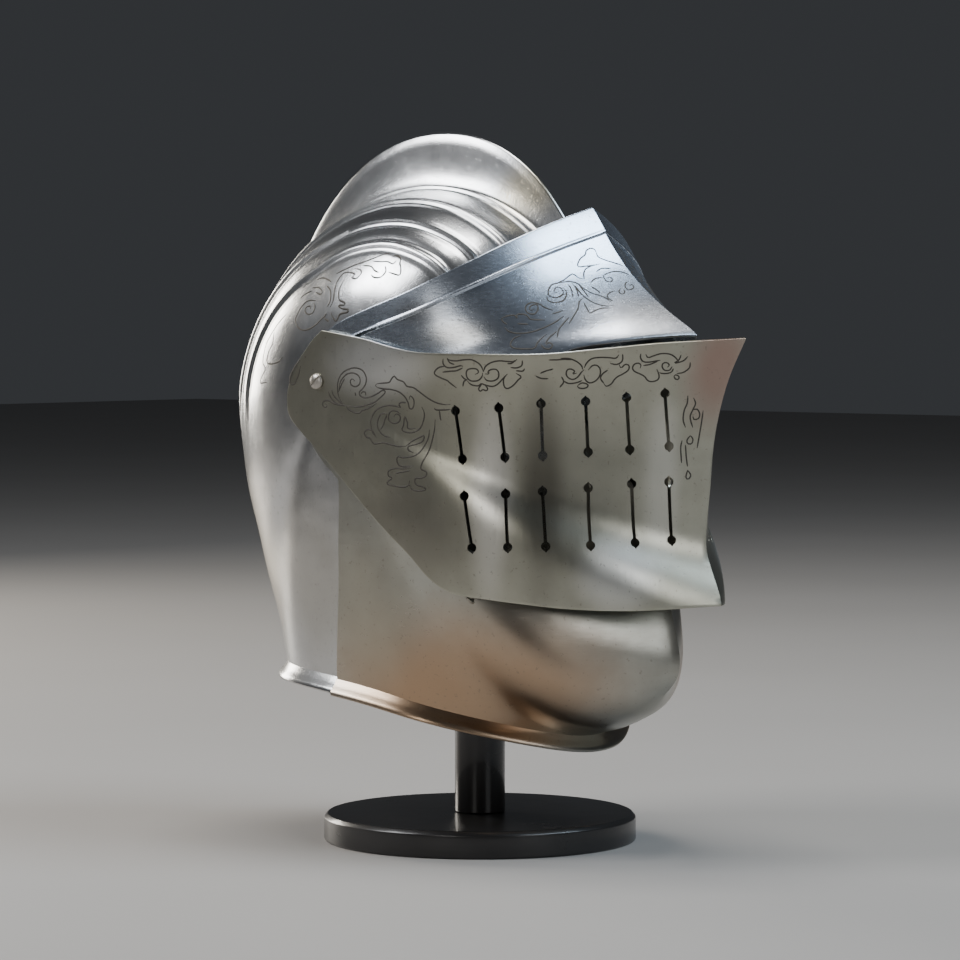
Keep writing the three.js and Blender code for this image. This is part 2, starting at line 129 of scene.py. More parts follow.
class Edge:
    # a smooth outline through given points, walked by its share of length
    def __init__(self, points, tension=0.5):
        knots = [Vector(p) for p in points]
        ends = [2 * knots[0] - knots[1], *knots, 2 * knots[-1] - knots[-2]]
        fine = []
        for a, b, c, d in zip(ends, ends[1:], ends[2:], ends[3:]):
            for k in range(24):
                t = k / 24
                pull = tension * ((c - a) * (t - 2 * t * t + t ** 3) + (d - b) * (t ** 3 - t * t))
                fine.append(b * (1 - 3 * t * t + 2 * t ** 3) + c * (3 * t * t - 2 * t ** 3) + pull)
        fine.append(knots[-1])
        self.points = np.array([tuple(p) for p in fine])
        runs = np.hypot(*np.diff(self.points, axis=0).T)
        self.length = runs.sum()
        self.shares = np.concatenate([[0], np.cumsum(runs)]) / self.length

    def at(self, share):
        x = np.interp(share, self.shares, self.points[:, 0])
        y = np.interp(share, self.shares, self.points[:, 1])
        return Vector((x, y))

    def distance(self, forward, up):
        return float(np.hypot(self.points[:, 0] - forward, self.points[:, 1] - up).min())


def keelEdge(sections, fromAngle, toAngle):
    steps = 40
    turns = [fromAngle + (toAngle - fromAngle) * i / steps for i in range(steps + 1)]
    return Edge([sections.keel(turn) for turn in turns])


def patch(keel, rear, low, top, back, rise):
    # Coons patch: low and top run from the keel to the rear, keel and rear run upwards
    loft = low.at(back) * (1 - rise) + top.at(back) * rise
    front = keel.at(rise) - (low.at(0) * (1 - rise) + top.at(0) * rise)
    behind = rear.at(rise) - (low.at(1) * (1 - rise) + top.at(1) * rise)
    return loft + front * (1 - back) + behind * back


# modelling helpers, each one a few strokes of the mesh tools
def selectOnly(*objects):
    bpy.ops.object.select_all(action="DESELECT")
    for obj in objects:
        obj.select_set(True)
    bpy.context.view_layer.objects.active = objects[0]


def editMesh(obj, *strokes):
    selectOnly(obj)
    bpy.ops.object.mode_set(mode="EDIT")
    bpy.ops.mesh.select_all(action="SELECT")
    for stroke in strokes:
        stroke()
    bpy.ops.object.mode_set(mode="OBJECT")


def weld():
    bpy.ops.mesh.remove_doubles(threshold=0.00002)


def outwards():
    bpy.ops.mesh.normals_make_consistent(inside=False)


def turnOver():
    bpy.ops.mesh.flip_normals()


def capEnds():
    bpy.ops.mesh.select_all(action="DESELECT")
    bpy.ops.mesh.select_mode(type="EDGE")
    bpy.ops.mesh.select_non_manifold(extend=False, use_multi_face=False, use_verts=False)
    bpy.ops.mesh.fill_holes(sides=0)
    bpy.ops.mesh.select_all(action="SELECT")


def finishModifiers(obj):
    selectOnly(obj)
    for modifier in list(obj.modifiers):
        bpy.ops.object.modifier_apply(modifier=modifier.name)


def bentGrid(name, columns, rows, spot):
    # a flat grid whose points are moved one by one to where spot says
    bpy.ops.mesh.primitive_grid_add(x_subdivisions=columns, y_subdivisions=rows, size=2)
    obj = bpy.context.object
    obj.name = obj.data.name = name
    for vertex in obj.data.vertices:
        vertex.co = spot(vertex.co.x / 2 + 0.5, vertex.co.y / 2 + 0.5)
    editMesh(obj, weld)
    return obj


def mirrored(obj):
    mirror = obj.modifiers.new("mirror", "MIRROR")
    mirror.merge_threshold = 0.00005
    finishModifiers(obj)
    editMesh(obj, weld, outwards)
    widest = max(obj.data.polygons, key=lambda face: face.center.x)
    if widest.normal.x < 0:
        editMesh(obj, turnOver)
    return obj


def thickened(obj, wall, softEdge):
    sheet = obj.modifiers.new("wall", "SOLIDIFY")
    sheet.thickness = wall * mm
    sheet.offset = -1
    if softEdge:
        bevel = obj.modifiers.new("softEdge", "BEVEL")
        bevel.width = softEdge * mm
        bevel.segments = 2
        bevel.limit_method = "ANGLE"
        bevel.angle_limit = math.radians(55)
        bevel.use_clamp_overlap = False
    finishModifiers(obj)
    return obj


def smooth(obj, degrees=32):
    selectOnly(obj)
    bpy.ops.object.shade_smooth_by_angle(angle=math.radians(degrees))
    return obj


def joined(*objects):
    selectOnly(*objects)
    bpy.ops.object.join()
    return objects[0]


def settled(obj, body, node, slot, material):
    obj.data.materials.clear()
    obj.data.materials.append(material)
    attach(obj, body)
    if node:
        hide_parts(node)
    return obj


# shader helpers
class Wire:
    # one output socket, so that shader maths reads as plain sums
    def __init__(self, shader, socket):
        self.shader = shader
        self.socket = socket

    def maths(self, operation, first, second):
        return self.shader.add("ShaderNodeMath", {"operation": operation}, {0: first, 1: second})

    def __add__(self, other):
        return self.maths("ADD", self, other)

    def __radd__(self, other):
        return self.maths("ADD", other, self)

    def __sub__(self, other):
        return self.maths("SUBTRACT", self, other)

    def __rsub__(self, other):
        return self.maths("SUBTRACT", other, self)

    def __mul__(self, other):
        return self.maths("MULTIPLY", self, other)

    def __rmul__(self, other):
        return self.maths("MULTIPLY", other, self)


class Shader:
    def __init__(self, name):
        self.material = bpy.data.materials.new(name)
        self.material.use_nodes = True
        self.tree = self.material.node_tree
        self.tree.nodes.clear()

    def add(self, kind, settings=None, inputs=None, output=0):
        node = self.tree.nodes.new(kind)
        for key, value in (settings or {}).items():
            if key == "stops":
                ramp = node.color_ramp
                while len(ramp.elements) < len(value):
                    ramp.elements.new(0.5)
                for element, (position, shade) in zip(ramp.elements, value):
                    element.position = position
                    element.color = (shade, shade, shade, 1)
            else:
                setattr(node, key, value)
        for key, value in (inputs or {}).items():
            if isinstance(value, Wire):
                self.tree.links.new(value.socket, node.inputs[key])
            else:
                node.inputs[key].default_value = value
        return Wire(self, node.outputs[output]) if node.outputs else None

    def spot(self, scale=(1, 1, 1), turn=(0, 0, 0)):
        where = self.add("ShaderNodeTexCoord", output=3)
        return self.add("ShaderNodeMapping", None, {0: where, 2: turn, 3: scale})

    def noise(self, where, scale, detail=3, rough=0.5):
        inputs = {"Vector": where, "Scale": scale, "Detail": detail, "Roughness": rough}
        return self.add("ShaderNodeTexNoise", None, inputs)

    def ramp(self, value, stops):
        return self.add("ShaderNodeValToRGB", {"stops": stops}, {0: value})

    def blend(self, share, first, second):
        inputs = {0: share, 6: first, 7: second}
        return self.add("ShaderNodeMix", {"data_type": "RGBA"}, inputs, output=2)

    def between(self, value, low, high):
        inputs = {"Value": value, "From Min": low, "From Max": high}
        return self.add("ShaderNodeMapRange", {"interpolation_type": "SMOOTHSTEP"}, inputs)

    def vector(self, operation, first, second=(0, 0, 0), output=0):
        return self.add("ShaderNodeVectorMath", {"operation": operation}, {0: first, 1: second}, output)

    def eitherSide(self):  # position with its two sides folded together
        where = self.spot()
        parts = [self.add("ShaderNodeSeparateXYZ", None, {0: where}, output=axis) for axis in range(3)]
        side = self.add("ShaderNodeMath", {"operation": "ABSOLUTE"}, {0: parts[0]})
        return self.add("ShaderNodeCombineXYZ", None, {0: side, 1: parts[1], 2: parts[2]})

    def near(self, where, centre, reach):  # 1 at the centre, easing to 0 at its reach
        away = self.vector("SUBTRACT", where, tuple(place(*centre)))
        away = self.vector("MULTIPLY", away, tuple(1 / (mm * span) for span in reach))
        return self.between(self.vector("LENGTH", away, output=1), 1, 0.2)

    def surface(self, inputs):
        principled = self.add("ShaderNodeBsdfPrincipled", None, inputs)
        self.add("ShaderNodeOutputMaterial", None, {"Surface": principled})
        return self.material


def rgb(red, green, blue):
    return (red, green, blue, 1)


steelLooks = {  # painted light: patches of painted reflection, highlight and shade, each as where on the plate, how far each way, colour and strength
    "skull": {
        "plain": rgb(0.64, 0.65, 0.66),
        "cloud": rgb(0.50, 0.51, 0.52),
        "rough": (0.17, 0.30),
        "grain": (60, 900, 240),
        "paintedLight": [
            # painted highlights on the upper side and the comb top, warm painted reflections on the comb and
            # low at the back, painted shade low on the side
            ((90, 10, 50), (60, 55, 48), rgb(0.90, 0.91, 0.92), 0.8),
            ((0, 65, 103), (34, 26, 22), rgb(0.84, 0.74, 0.50), 0.6),
            ((0, 5, 122), (20, 60, 30), rgb(0.88, 0.88, 0.88), 0.6),
            ((60, -100, -110), (95, 80, 80), rgb(0.58, 0.51, 0.39), 0.8),
            ((90, -10, -110), (40, 44, 80), rgb(0.36, 0.34, 0.29), 0.7),
        ],
    },
    "visor": {
        # the cool blue cast and the light blue upper patch are painted reflection of bluish light from above;
        # the darker patches are painted shade
        "plain": rgb(0.60, 0.66, 0.76),
        "cloud": rgb(0.50, 0.56, 0.65),
        "rough": (0.20, 0.32),
        "grain": (240, 240, 900),
        "paintedLight": [
            ((29, 112, 66), (60, 50, 40), rgb(0.74, 0.84, 0.98), 0.9),
            ((10, 158, 32), (48, 42, 28), rgb(0.40, 0.39, 0.38), 0.65),
            ((88, 62, 37), (30, 26, 11), rgb(0.30, 0.31, 0.33), 0.7),
            ((84, 84, 26), (30, 30, 12), rgb(0.44, 0.43, 0.40), 0.6),
        ],
    },
    "ventail": {
        "plain": rgb(0.42, 0.41, 0.34),
        "cloud": rgb(0.33, 0.32, 0.26),
        "rough": (0.26, 0.38),
        "grain": (900, 900, 60),
        "paintedLight": [
            # a painted highlight high up, bright and dark upright bands of painted reflection, and painted
            # shade near the prow top and low on the side
            ((101, 40, 10), (70, 46, 26), rgb(0.78, 0.78, 0.75), 0.9),
            ((81, 105, -62), (18, 16, 70), rgb(0.84, 0.82, 0.76), 0.85),
            ((66, 127, -55), (18, 16, 90), rgb(0.17, 0.16, 0.13), 0.85),
            ((44, 160, -100), (30, 30, 26), rgb(0.88, 0.88, 0.84), 0.8),
            ((22, 172, -50), (14, 14, 70), rgb(0.70, 0.69, 0.62), 0.6),
            ((7, 200, 6), (24, 30, 46), rgb(0.34, 0.23, 0.19), 0.85),
            ((97, 60, -80), (36, 60, 46), rgb(0.28, 0.265, 0.22), 0.7),
        ],
    },
    "bevor": {
        "plain": rgb(0.40, 0.40, 0.36),
        "cloud": rgb(0.32, 0.31, 0.27),
        "rough": (0.24, 0.36),
        "grain": (120, 120, 900),
        "paintedLight": [
            # a brown patch of painted reflection of warm light low on the chin and cheek, and darker patches
            # of painted shade on the chin front and side
            ((74, 85, -166), (90, 140, 66), rgb(0.44, 0.29, 0.18), 0.9),
            ((25, 150, -112), (50, 50, 24), rgb(0.34, 0.36, 0.31), 0.85),
            ((94, 30, -120), (30, 40, 60), rgb(0.36, 0.33, 0.26), 0.6),
        ],
    },
}


def polishedSteel(name, look):
    shader = Shader(name)
    here = shader.spot()
    broad = shader.noise(here, 14, 2)
    mottle = shader.noise(here, 75, 4, 0.6)
    grain = shader.noise(shader.spot(look["grain"]), 1, 3, 0.6)
    cross = shader.noise(shader.spot(look["grain"], (0.6, 0.9, 0.3)), 0.8, 2)
    pits = shader.ramp(shader.noise(here, 520, 2), [(0.66, 0), (0.72, 1)])
    cloudy = shader.ramp(mottle * 0.5 + broad * 0.5, [(0.42, 0), (0.62, 0.6)])
    colour = shader.blend(cloudy, look["plain"], look["cloud"])
    folded = shader.eitherSide()
    # each patch paints a reflection, highlight or shade into the steel's base colour
    for centre, reach, paintedTone, strength in look["paintedLight"]:
        share = shader.near(folded, centre, reach) * (strength * (0.7 + 0.6 * broad))
        colour = shader.blend(share, colour, paintedTone)
    colour = shader.blend(0.35 * pits, colour, rgb(0.16, 0.14, 0.12))
    least, most = look["rough"]
    rough = least + (most - least) * (0.6 * broad + 0.4 * mottle) + 0.10 * (grain - 0.5)
    bump = 0.5 * grain + 0.25 * cross + 0.8 * mottle - 0.6 * pits
    fine = shader.add("ShaderNodeBump", None, {"Strength": 0.10, "Distance": 0.0006, "Height": bump})
    dents = shader.noise(here, 22, 2, 0.4)
    normal = {"Strength": 0.22, "Distance": 0.004, "Height": dents, "Normal": fine}
    return shader.surface({
        "Base Color": colour,
        "Metallic": 1.0,
        "Roughness": rough,
        "Normal": shader.add("ShaderNodeBump", None, normal),
    })


def darkLine():
    shader = Shader("etchedLine")
    wear = shader.noise(shader.spot(), 420, 3)
    colour = shader.blend(wear, rgb(0.018, 0.015, 0.012), rgb(0.085, 0.075, 0.062))
    return shader.surface({"Base Color": colour, "Metallic": 0.3, "Roughness": 0.5 + 0.2 * wear})


def screwMetal():
    shader = Shader("screwSteel")
    wear = shader.noise(shader.spot(), 300, 4)
    colour = shader.blend(wear, rgb(0.30, 0.27, 0.23), rgb(0.62, 0.60, 0.56))
    bump = shader.add("ShaderNodeBump", None, {"Strength": 0.2, "Distance": 0.0003, "Height": wear})
    inputs = {"Base Color": colour, "Metallic": 1.0, "Roughness": 0.25 + 0.25 * wear, "Normal": bump}
    return shader.surface(inputs)


def satinBlack():
    shader = Shader("satinBlack")
    broad = shader.noise(shader.spot(), 30, 3)
    grain = shader.noise(shader.spot(), 900, 2)
    colour = shader.blend(broad, rgb(0.012, 0.011, 0.011), rgb(0.028, 0.026, 0.025))
    bump = shader.add("ShaderNodeBump", None, {"Strength": 0.08, "Distance": 0.0003, "Height": grain})
    return shader.surface({
        "Base Color": colour,
        "Metallic": 0.35,
        "Roughness": 0.22 + 0.16 * broad,
        "Coat Weight": 0.3,
        "Normal": bump,
    })


columns = ("angle", "reach", "full", "round")
print("helpers ready")

skull = {
    "half": 95,
    "easing": 5,
    "sections": [
        (-60, 262, 2.9, 0.42), (-30, 112, 3.4, 0.42), (20, 112, 3.2, 0.42), (41, 112, 3.2, 0.335),
        (60, 109.3, 3.3, 0.438), (85, 107.3, 2.84, 0.555), (110, 107.9, 2.43, 0.632),
        (130, 109.5, 2.35, 0.624), (150, 112.2, 2.33, 0.587), (180, 120.6, 2.32, 0.535),
        (211, 132.9, 2.33, 0.479), (232, 151.2, 2.38, 0.412), (245, 190, 2.3, 0.48),
        (255, 232, 2.6, 0.45), (270, 262, 2.8, 0.42), (300, 262, 2.9, 0.42),
    ],
    "comb": [
        (10, 6), (25, 9), (46, 15), (60, 23), (75, 28.7), (90, 29.9), (104, 28.2), (120, 22.7),
        (136, 16), (150, 10.5), (165, 4), (180, 0),
    ],
    "combEdge": 2.0,
    "combFoot": 9.5,
    "reeds": (13, 41, 62, 76),
    "reedHalf": 1.7,
    "reedHeight": 1.5,
    "reedFade": (208, 180),
    "rings": (
        19, 23, 27, 31, 35, 48, 52, 56, 68, 70, 81, 83, 85, 87, 89, 90.7, 92.2, 93.5, 94.4, 94.85,
    ),
    "rimSearch": (-60, -110),
    "front": 22,
    "back": 284,
    "columns": 150,
}
visor = {
    "half": 97.6,
    "easing": 3,
    "sections": [
        (-180, 142, 4.0, 1), (-8, 196, 2.7, 1), (0, 191, 2.7, 1), (8, 181.5, 2.8, 1), (12, 168, 3.0, 1),
        (16, 158, 3.3, 1), (24, 146, 3.8, 1), (31, 142, 4.0, 1), (41, 142.4, 4.0, 1), (180, 142, 4.0, 1),
    ],
    "top": [
        (94.3, 77.7), (81, 64.8), (65.5, 54.3), (50.4, 46.6), (25.9, 37.5), (12, 32.2), (2.6, 27),
    ],
    "low": [
        (175, 25.4), (163, 24), (150.8, 21.8), (138, 18.8), (127, 13), (100, 2), (60, -12), (16, -22.4),
    ],
    "lobe": [(3, -21.5), (-9, -16.5), (-15.5, -7), (-15.8, 1), (-12, 8)],
    "lobeTop": (-5, 17.5),
    "band": (11.5, 16.5),
    "bandRise": 0.8,
    "bandStep": (-0.6, 0.9),
    "bead": (1.0, 0.15),
    "beadHalf": 1.3,
    "beadMiddle": 0.9,
    "keel": (8, 41.1),
}
ventail = {
    "half": 102.5,
    "easing": 3,
    "sections": [
        (-180, 260, 4.5, 0.8), (-75, 260, 4.5, 0.8), (-56, 256, 4.0, 0.85), (-40, 245, 3.2, 0.95),
        (-31, 229.4, 2.9, 1), (-26.7, 209, 2.8, 1), (-21.3, 199.7, 2.75, 1), (-16.8, 196.3, 2.7, 1),
        (-10.6, 193, 2.7, 1), (-4.1, 194.8, 2.7, 1), (1.7, 201.6, 2.7, 1), (6.4, 212.5, 2.7, 1),
        (12, 228, 2.7, 1), (180, 228, 2.7, 1),
    ],
    "top": [
        (181, 21.2), (161, 18.6), (134, 15.6), (103, 15.4), (78, 15.8), (66, 16.5), (54, 18.5), (42, 21.2),
        (33, 23.3), (19, 25.4), (3, 27.6),
    ],
    "rear": [(-10.5, -29), (-20.6, -19), (-22.3, -8), (-19.6, 1.8), (-15.5, 8.9), (-4.3, 21.9), (3, 27.6)],
    "low": [
        (170, -119.7), (145, -119), (120, -116), (103, -113.7), (91, -112.2), (82, -109), (73, -102.5),
        (62.3, -91.4), (41.9, -74.1), (4.9, -41.2), (-10.5, -29),
    ],
    "keel": (-31, 6.4),
    "slotWidth": 1.8,
    "slotHole": 2.5,
    "slotNick": 1.1,
    "cutReach": 7,
    "slots": [  # forward and up of each slot's top hole, then of its lower one
        (87.3, -14.6, 90.7, -40), (109, -12.9, 111, -38.8), (128.3, -10.6, 127.6, -38),
        (147, -9.4, 146, -36), (163, -7.3, 161.6, -34.8), (177.2, -5.2, 175.4, -33.2),
        (94.1, -59.4, 98.6, -86.6), (112.3, -58.2, 116.2, -86), (127.4, -56.8, 133, -85.4),
        (145.5, -55, 149.6, -85), (161.6, -53, 163.6, -84), (174.6, -52, 174.8, -83),
    ],
}
bevor = {
    "half": 99.9,
    "easing": 5,
    "sections": [
        (-180, 262, 3, 0.5), (-100, 265, 3, 0.5), (-90, 270, 3, 0.5), (-80, 268, 3, 0.5),
        (-73, 249, 3, 0.42), (-66, 227, 3, 0.46), (-61.4, 219, 3, 0.49), (-57.3, 226, 3, 0.48),
        (-54, 227, 3, 0.466), (-50, 231.8, 3, 0.545), (-46, 229, 3, 0.84), (-42.5, 231.5, 3, 1.17),
        (-39.4, 214.7, 3, 1.4), (-36.8, 201, 3, 1.2), (-29, 187, 3, 1), (-15, 180, 3, 1),
        (180, 180, 3, 1),
    ],
    "top": [(150, -98), (98, -92), (60, -58), (14, -14), (4, 19)],
    "rear": [(8.7, -118), (11.1, -86), (12.3, -54), (6, -25), (-14, -15), (-20, 0), (-13, 15), (4, 19)],
    "seam": 0.5,
    "keelTop": -31,
    "rimSearch": (80, 140),
}


def neckLine(forward):
    return -162.4 - 0.12 * forward - (0.00144 if forward > 0 else 0.00065) * forward ** 2


rim = {
    "drop": 4,
    "section": [
        (-1.5, 0.9), (0.0, 0.5), (0.7, -0.6), (1.6, -2.2), (2.9, -3.8), (4.2, -5.2), (5.1, -6.5),
        (5.2, -7.6), (4.6, -8.4), (3.6, -8.7), (2.5, -8.2), (1.3, -6.6), (-0.4, -4.6), (-1.9, -2.4),
    ],
}


def rimMiddle(sections, near, far):
    for _ in range(40):
        forward = (near + far) / 2
        if sections.width(forward, neckLine(forward)) > 0:
            near = forward
        else:
            far = forward
    return near


def rolledRim(name, sections, start, middle):
    # the rim's section carried round the plate's lower edge
    ring = rim["section"]

    def station(share):
        turned = math.sin(math.pi / 2 * (1 - abs(share)))
        forward = start + (middle - start) * turned
        width = sections.width(forward, neckLine(forward)) if abs(share) > 1e-6 else 0
        return Vector((math.copysign(width, share), forward))

    def spot(across, round):
        share = 2 * across - 1
        here = station(share)
        run = station(min(1, share + 0.004)) - station(max(-1, share - 0.004))
        away = Vector((-run.y, run.x)).normalized() * (1 if middle > start else -1)
        out, up = ring[int(round * len(ring) + 0.5) % len(ring)]
        where = here + away * out
        return place(where.x, where.y, neckLine(here.y) + up)

    obj = bentGrid(name, 150, len(ring), spot)
    editMesh(obj, capEnds, outwards)
    return obj


def combRise(settings, comb, angle, width):
    height = float(np.interp(angle, comb[0], comb[1]))
    edge, foot = settings["combEdge"], settings["combFoot"]
    if height <= 0 or width >= foot:
        return 0
    tip = min(edge, height)
    if width <= edge:
        return height - tip + tip * math.sqrt(max(0, 1 - (width / edge) ** 2))
    return (height - tip) * ((foot - width) / (foot - edge)) ** 2.3


def skullWidths(settings):
    # one ring of points at each of these half widths, close together on the comb and the reeds
    edge, foot, reach = settings["combEdge"], settings["combFoot"], settings["reedHalf"]
    widths = [edge * math.sin(math.radians(turn)) for turn in (0, 25, 45, 62, 76, 90)]
    widths += [foot - (foot - edge) * (1 - k / 12) for k in range(1, 13)]
    for reed in settings["reeds"]:
        widths += [reed + reach * k / 2 for k in range(-5, 6)]
    widths += settings["rings"]
    kept = []
    for width in sorted(widths):
        if not kept or width - kept[-1] > 0.3:
            kept.append(width)
    return [*kept, settings["half"]]


def makeSkull(settings):
    sections = Sections(settings["half"], settings["easing"], columns, settings["sections"])
    combAngles = np.arange(0, 200, 0.5)
    combHeights = hermite(*zip(*settings["comb"]), combAngles)
    window = np.hanning(17)
    combHeights = np.convolve(np.pad(combHeights, 8, mode="edge"), window / window.sum(), "valid")
    comb = (combAngles, np.where(combAngles > 183, 0, combHeights))
    widths = skullWidths(settings)
    fadeEnd, fadeStart = settings["reedFade"]
    middle = rimMiddle(sections, *settings["rimSearch"])

    def rimRadius(angle):  # how far out the neck's edge lies in this direction
        turn = math.radians(angle)
        if angle < 232:
            return math.inf
        near, far = 120.0, 230.0
        for _ in range(30):
            radius = (near + far) / 2
            if radius * math.sin(turn) > neckLine(radius * math.cos(turn)) - rim["drop"]:
                near = radius
            else:
                far = radius
        return near

    def spot(along, ring):
        angle = settings["front"] + (settings["back"] - settings["front"]) * along
        turn = math.radians(angle)
        width = widths[int(ring * (len(widths) - 1) + 0.5)]
        radius = sections.radius(angle, width)
        limit = rimRadius(angle)
        if radius > limit:
            forward, up = limit * math.cos(turn), limit * math.sin(turn)
            return place(sections.width(forward, up), forward, up)
        rise = combRise(settings, comb, angle, width)
        radius += rise
        forward, up = radius * math.cos(turn), radius * math.sin(turn)
        if width < settings["combFoot"] or width > settings["half"] - 1:
            return place(width, forward, up)
        fade = 1 - smoothStep(fadeStart, fadeEnd, angle)
        bump = 0
        for reed in settings["reeds"]:
            away = abs(width - reed) / settings["reedHalf"]
            if away < 1:
                bump += settings["reedHeight"] * fade * (1 - away ** 2) ** 0.8
            elif away < 2.4:
                bump -= 0.35 * fade * math.sin(math.pi * (away - 1) / 1.4)
        if bump == 0:
            return place(width, forward, up)
        normal = sections.outward(forward, up)
        return place(width + normal.x * bump, forward + normal.y * bump, up + normal.z * bump)

    bowl = bentGrid("helmetSkull", settings["columns"], len(widths) - 1, spot)
    thickened(mirrored(bowl), plateWall, 0)
    edge = rolledRim("skullRim", sections, 0, middle)
    return smooth(joined(bowl, edge)), sections


def makeVisor(settings):
    sections = Sections(settings["half"], settings["easing"], columns, settings["sections"])
    keelLow, keelHigh = settings["keel"]
    keel = keelEdge(sections, keelLow, keelHigh)
    low = Edge([keel.at(0), *settings["low"]])
    top = Edge([keel.at(1), *settings["top"]])
    lobe = settings["lobe"]
    least, most = settings["band"]
    line = []
    for k in range(1, 20):
        back = k / 20
        run = top.at(back + 0.01) - top.at(back - 0.01)
        drop = least + (most - least) * (1 - back) ** 1.5
        line.append(top.at(back) + Vector((-run.y, run.x)).normalized() * drop)
    keelTurn = 0.5
    for _ in range(12):
        keelTurn += (most - (keel.at(1) - keel.at(keelTurn)).length) / -keel.length
    bandLine = Edge([keel.at(keelTurn), *line, lobe[-1]])
    bandAngle = math.degrees(math.atan2(*reversed(keel.at(keelTurn))))
    rearTop = Edge([lobe[-1], settings["lobeTop"], top.at(1)])
    halves = (
        (keelEdge(sections, keelLow, bandAngle), Edge([low.at(1), *lobe]), low, bandLine),
        (keelEdge(sections, bandAngle, keelHigh), rearTop, bandLine, top),
    )
    below = [1 - (1 - k / 56) ** 2 for k in range(56)]
    above = [(k / 26) ** 1.5 for k in range(27)]
    rows = [(0, share) for share in below] + [(1, share) for share in above]
    highest, lowest = settings["bead"]

    def spot(back, rising):
        half, rise = rows[int(rising * (len(rows) - 1) + 0.5)]
        where = patch(*halves[half], back, rise)
        away = bandLine.distance(*where) * (1 if half else -1)
        bump = settings["bandRise"] * smoothStep(*settings["bandStep"], away)
        bead = max(0, 1 - ((away - settings["beadMiddle"]) / settings["beadHalf"]) ** 2) ** 1.5
        bump += (lowest + (highest - lowest) * back) * bead
        if back == 0:
            normal = Vector((0, *where.normalized()))
            return place(0, where.x + normal.y * bump, where.y + normal.z * bump)
        normal = sections.outward(*where)
        width = sections.width(*where)
        return place(max(0.01, width + normal.x * bump), where.x + normal.y * bump, where.y + normal.z * bump)

    obj = bentGrid("helmetVisor", 110, len(rows) - 1, spot)
    return smooth(thickened(mirrored(obj), plateWall, 0.3)), sections


def slotCutter(settings):
    # a slot's outline drawn on a disc: two drilled holes with small nicks, joined by the saw cut
    points = 64
    half, hole, nick = settings["slotWidth"] / 2, settings["slotHole"], settings["slotNick"]
    bpy.ops.mesh.primitive_circle_add(vertices=points, radius=1, fill_type="NGON")
    obj = bpy.context.object
    bite = math.asin(half / hole)
    for i, vertex in enumerate(obj.data.vertices):
        upper = i < points // 2
        share = (i % (points // 2)) / (points // 2 - 1)
        turn = (math.pi - bite) * (2 * share - 1)
        reach = hole + nick * max(0, 1 - abs(turn) / 0.32) ** 1.4
        side = reach * math.sin(turn)
        rise = reach * math.cos(turn)
        vertex.co = (side, rise, 0) if upper else (-side, -1 - rise, 0)
    return obj


def cutSlots(plate, sections, settings):
    pattern = slotCutter(settings)
    reach = settings["cutReach"]
    cutters = []
    half = len(pattern.data.vertices) // 2
    for topForward, topUp, footForward, footUp in settings["slots"]:
        for side in (-1, 1):
            cutter = pattern.copy()
            cutter.data = pattern.data.copy()
            bpy.context.collection.objects.link(cutter)
            ends = []
            for forward, up in ((topForward, topUp), (footForward, footUp)):
                normal = sections.outward(forward, up)
                spot = Vector((side * sections.width(forward, up), forward, up))
                ends.append((spot, Vector((side * normal.x, normal.y, normal.z))))
            (head, headOut), (foot, footOut) = ends
            out = (headOut + footOut).normalized()
            down = (foot - head).normalized()
            aside = out.cross(down).normalized()
            for i, vertex in enumerate(cutter.data.vertices):
                x, y = vertex.co.x, vertex.co.y
                base = head if i < half else foot
                y = y if i < half else y + 1
                vertex.co = base + aside * x - down * y - out * reach
            push = {"value": out * 2 * reach}
            editMesh(cutter, lambda: bpy.ops.mesh.extrude_region_move(TRANSFORM_OT_translate=push))
            for vertex in cutter.data.vertices:
                vertex.co = place(*vertex.co)
            editMesh(cutter, outwards)
            cutters.append(cutter)
    tool = joined(*cutters)
    cut = plate.modifiers.new("slots", "BOOLEAN")
    cut.object = tool
    cut.solver = "EXACT"
    finishModifiers(plate)
    bpy.data.objects.remove(tool)
    bpy.data.objects.remove(pattern)


def makeVentail(settings):
    sections = Sections(settings["half"], settings["easing"], columns, settings["sections"])
    keel = keelEdge(sections, *settings["keel"])
    low = Edge([keel.at(0), *settings["low"]])
    top = Edge([keel.at(1), *settings["top"]])
    rear = Edge(settings["rear"])

    def spot(back, rise):
        where = patch(keel, rear, low, top, back, rise)
        return place(sections.width(*where) if back > 0 else 0, *where)

    obj = bentGrid("helmetVentail", 120, 80, spot)
    thickened(mirrored(obj), plateWall, 0.2)
    cutSlots(obj, sections, settings)
    return smooth(obj), sections


def makeBevor(settings):
    sections = Sections(settings["half"], settings["easing"], columns, settings["sections"])
    middle = rimMiddle(sections, *settings["rimSearch"])
    foot = neckLine(middle) - rim["drop"]
    start = settings["seam"]
    lowAngle = math.degrees(math.atan2(foot, middle))
    keel = keelEdge(sections, lowAngle, settings["keelTop"])
    steps = [middle + (start - middle) * i / 12 for i in range(1, 13)]
    low = Edge([keel.at(0), *[(forward, neckLine(forward) - rim["drop"]) for forward in steps]])
    top = Edge([keel.at(1), *settings["top"]])
    rear = Edge([low.at(1), *settings["rear"]])

    def spot(back, rise):
        where = patch(keel, rear, low, top, back, rise)
        return place(sections.width(*where) if back > 0 else 0, *where)

    obj = bentGrid("helmetBevor", 110, 84, spot)
    thickened(mirrored(obj), plateWall, 0)
    edge = rolledRim("bevorRim", sections, start + 0.3, middle)
    return smooth(joined(obj, edge))


screw = {
    "radius": 4.3,
    "rise": 2.5,
    "lip": 0.7,
    "dome": 1.8,
    "shank": 2.7,
    "flange": 6,
    "flangeDeep": 3,
    "slotWide": 1.1,
    "slotDeep": 1.1,
    "turn": 42,
}


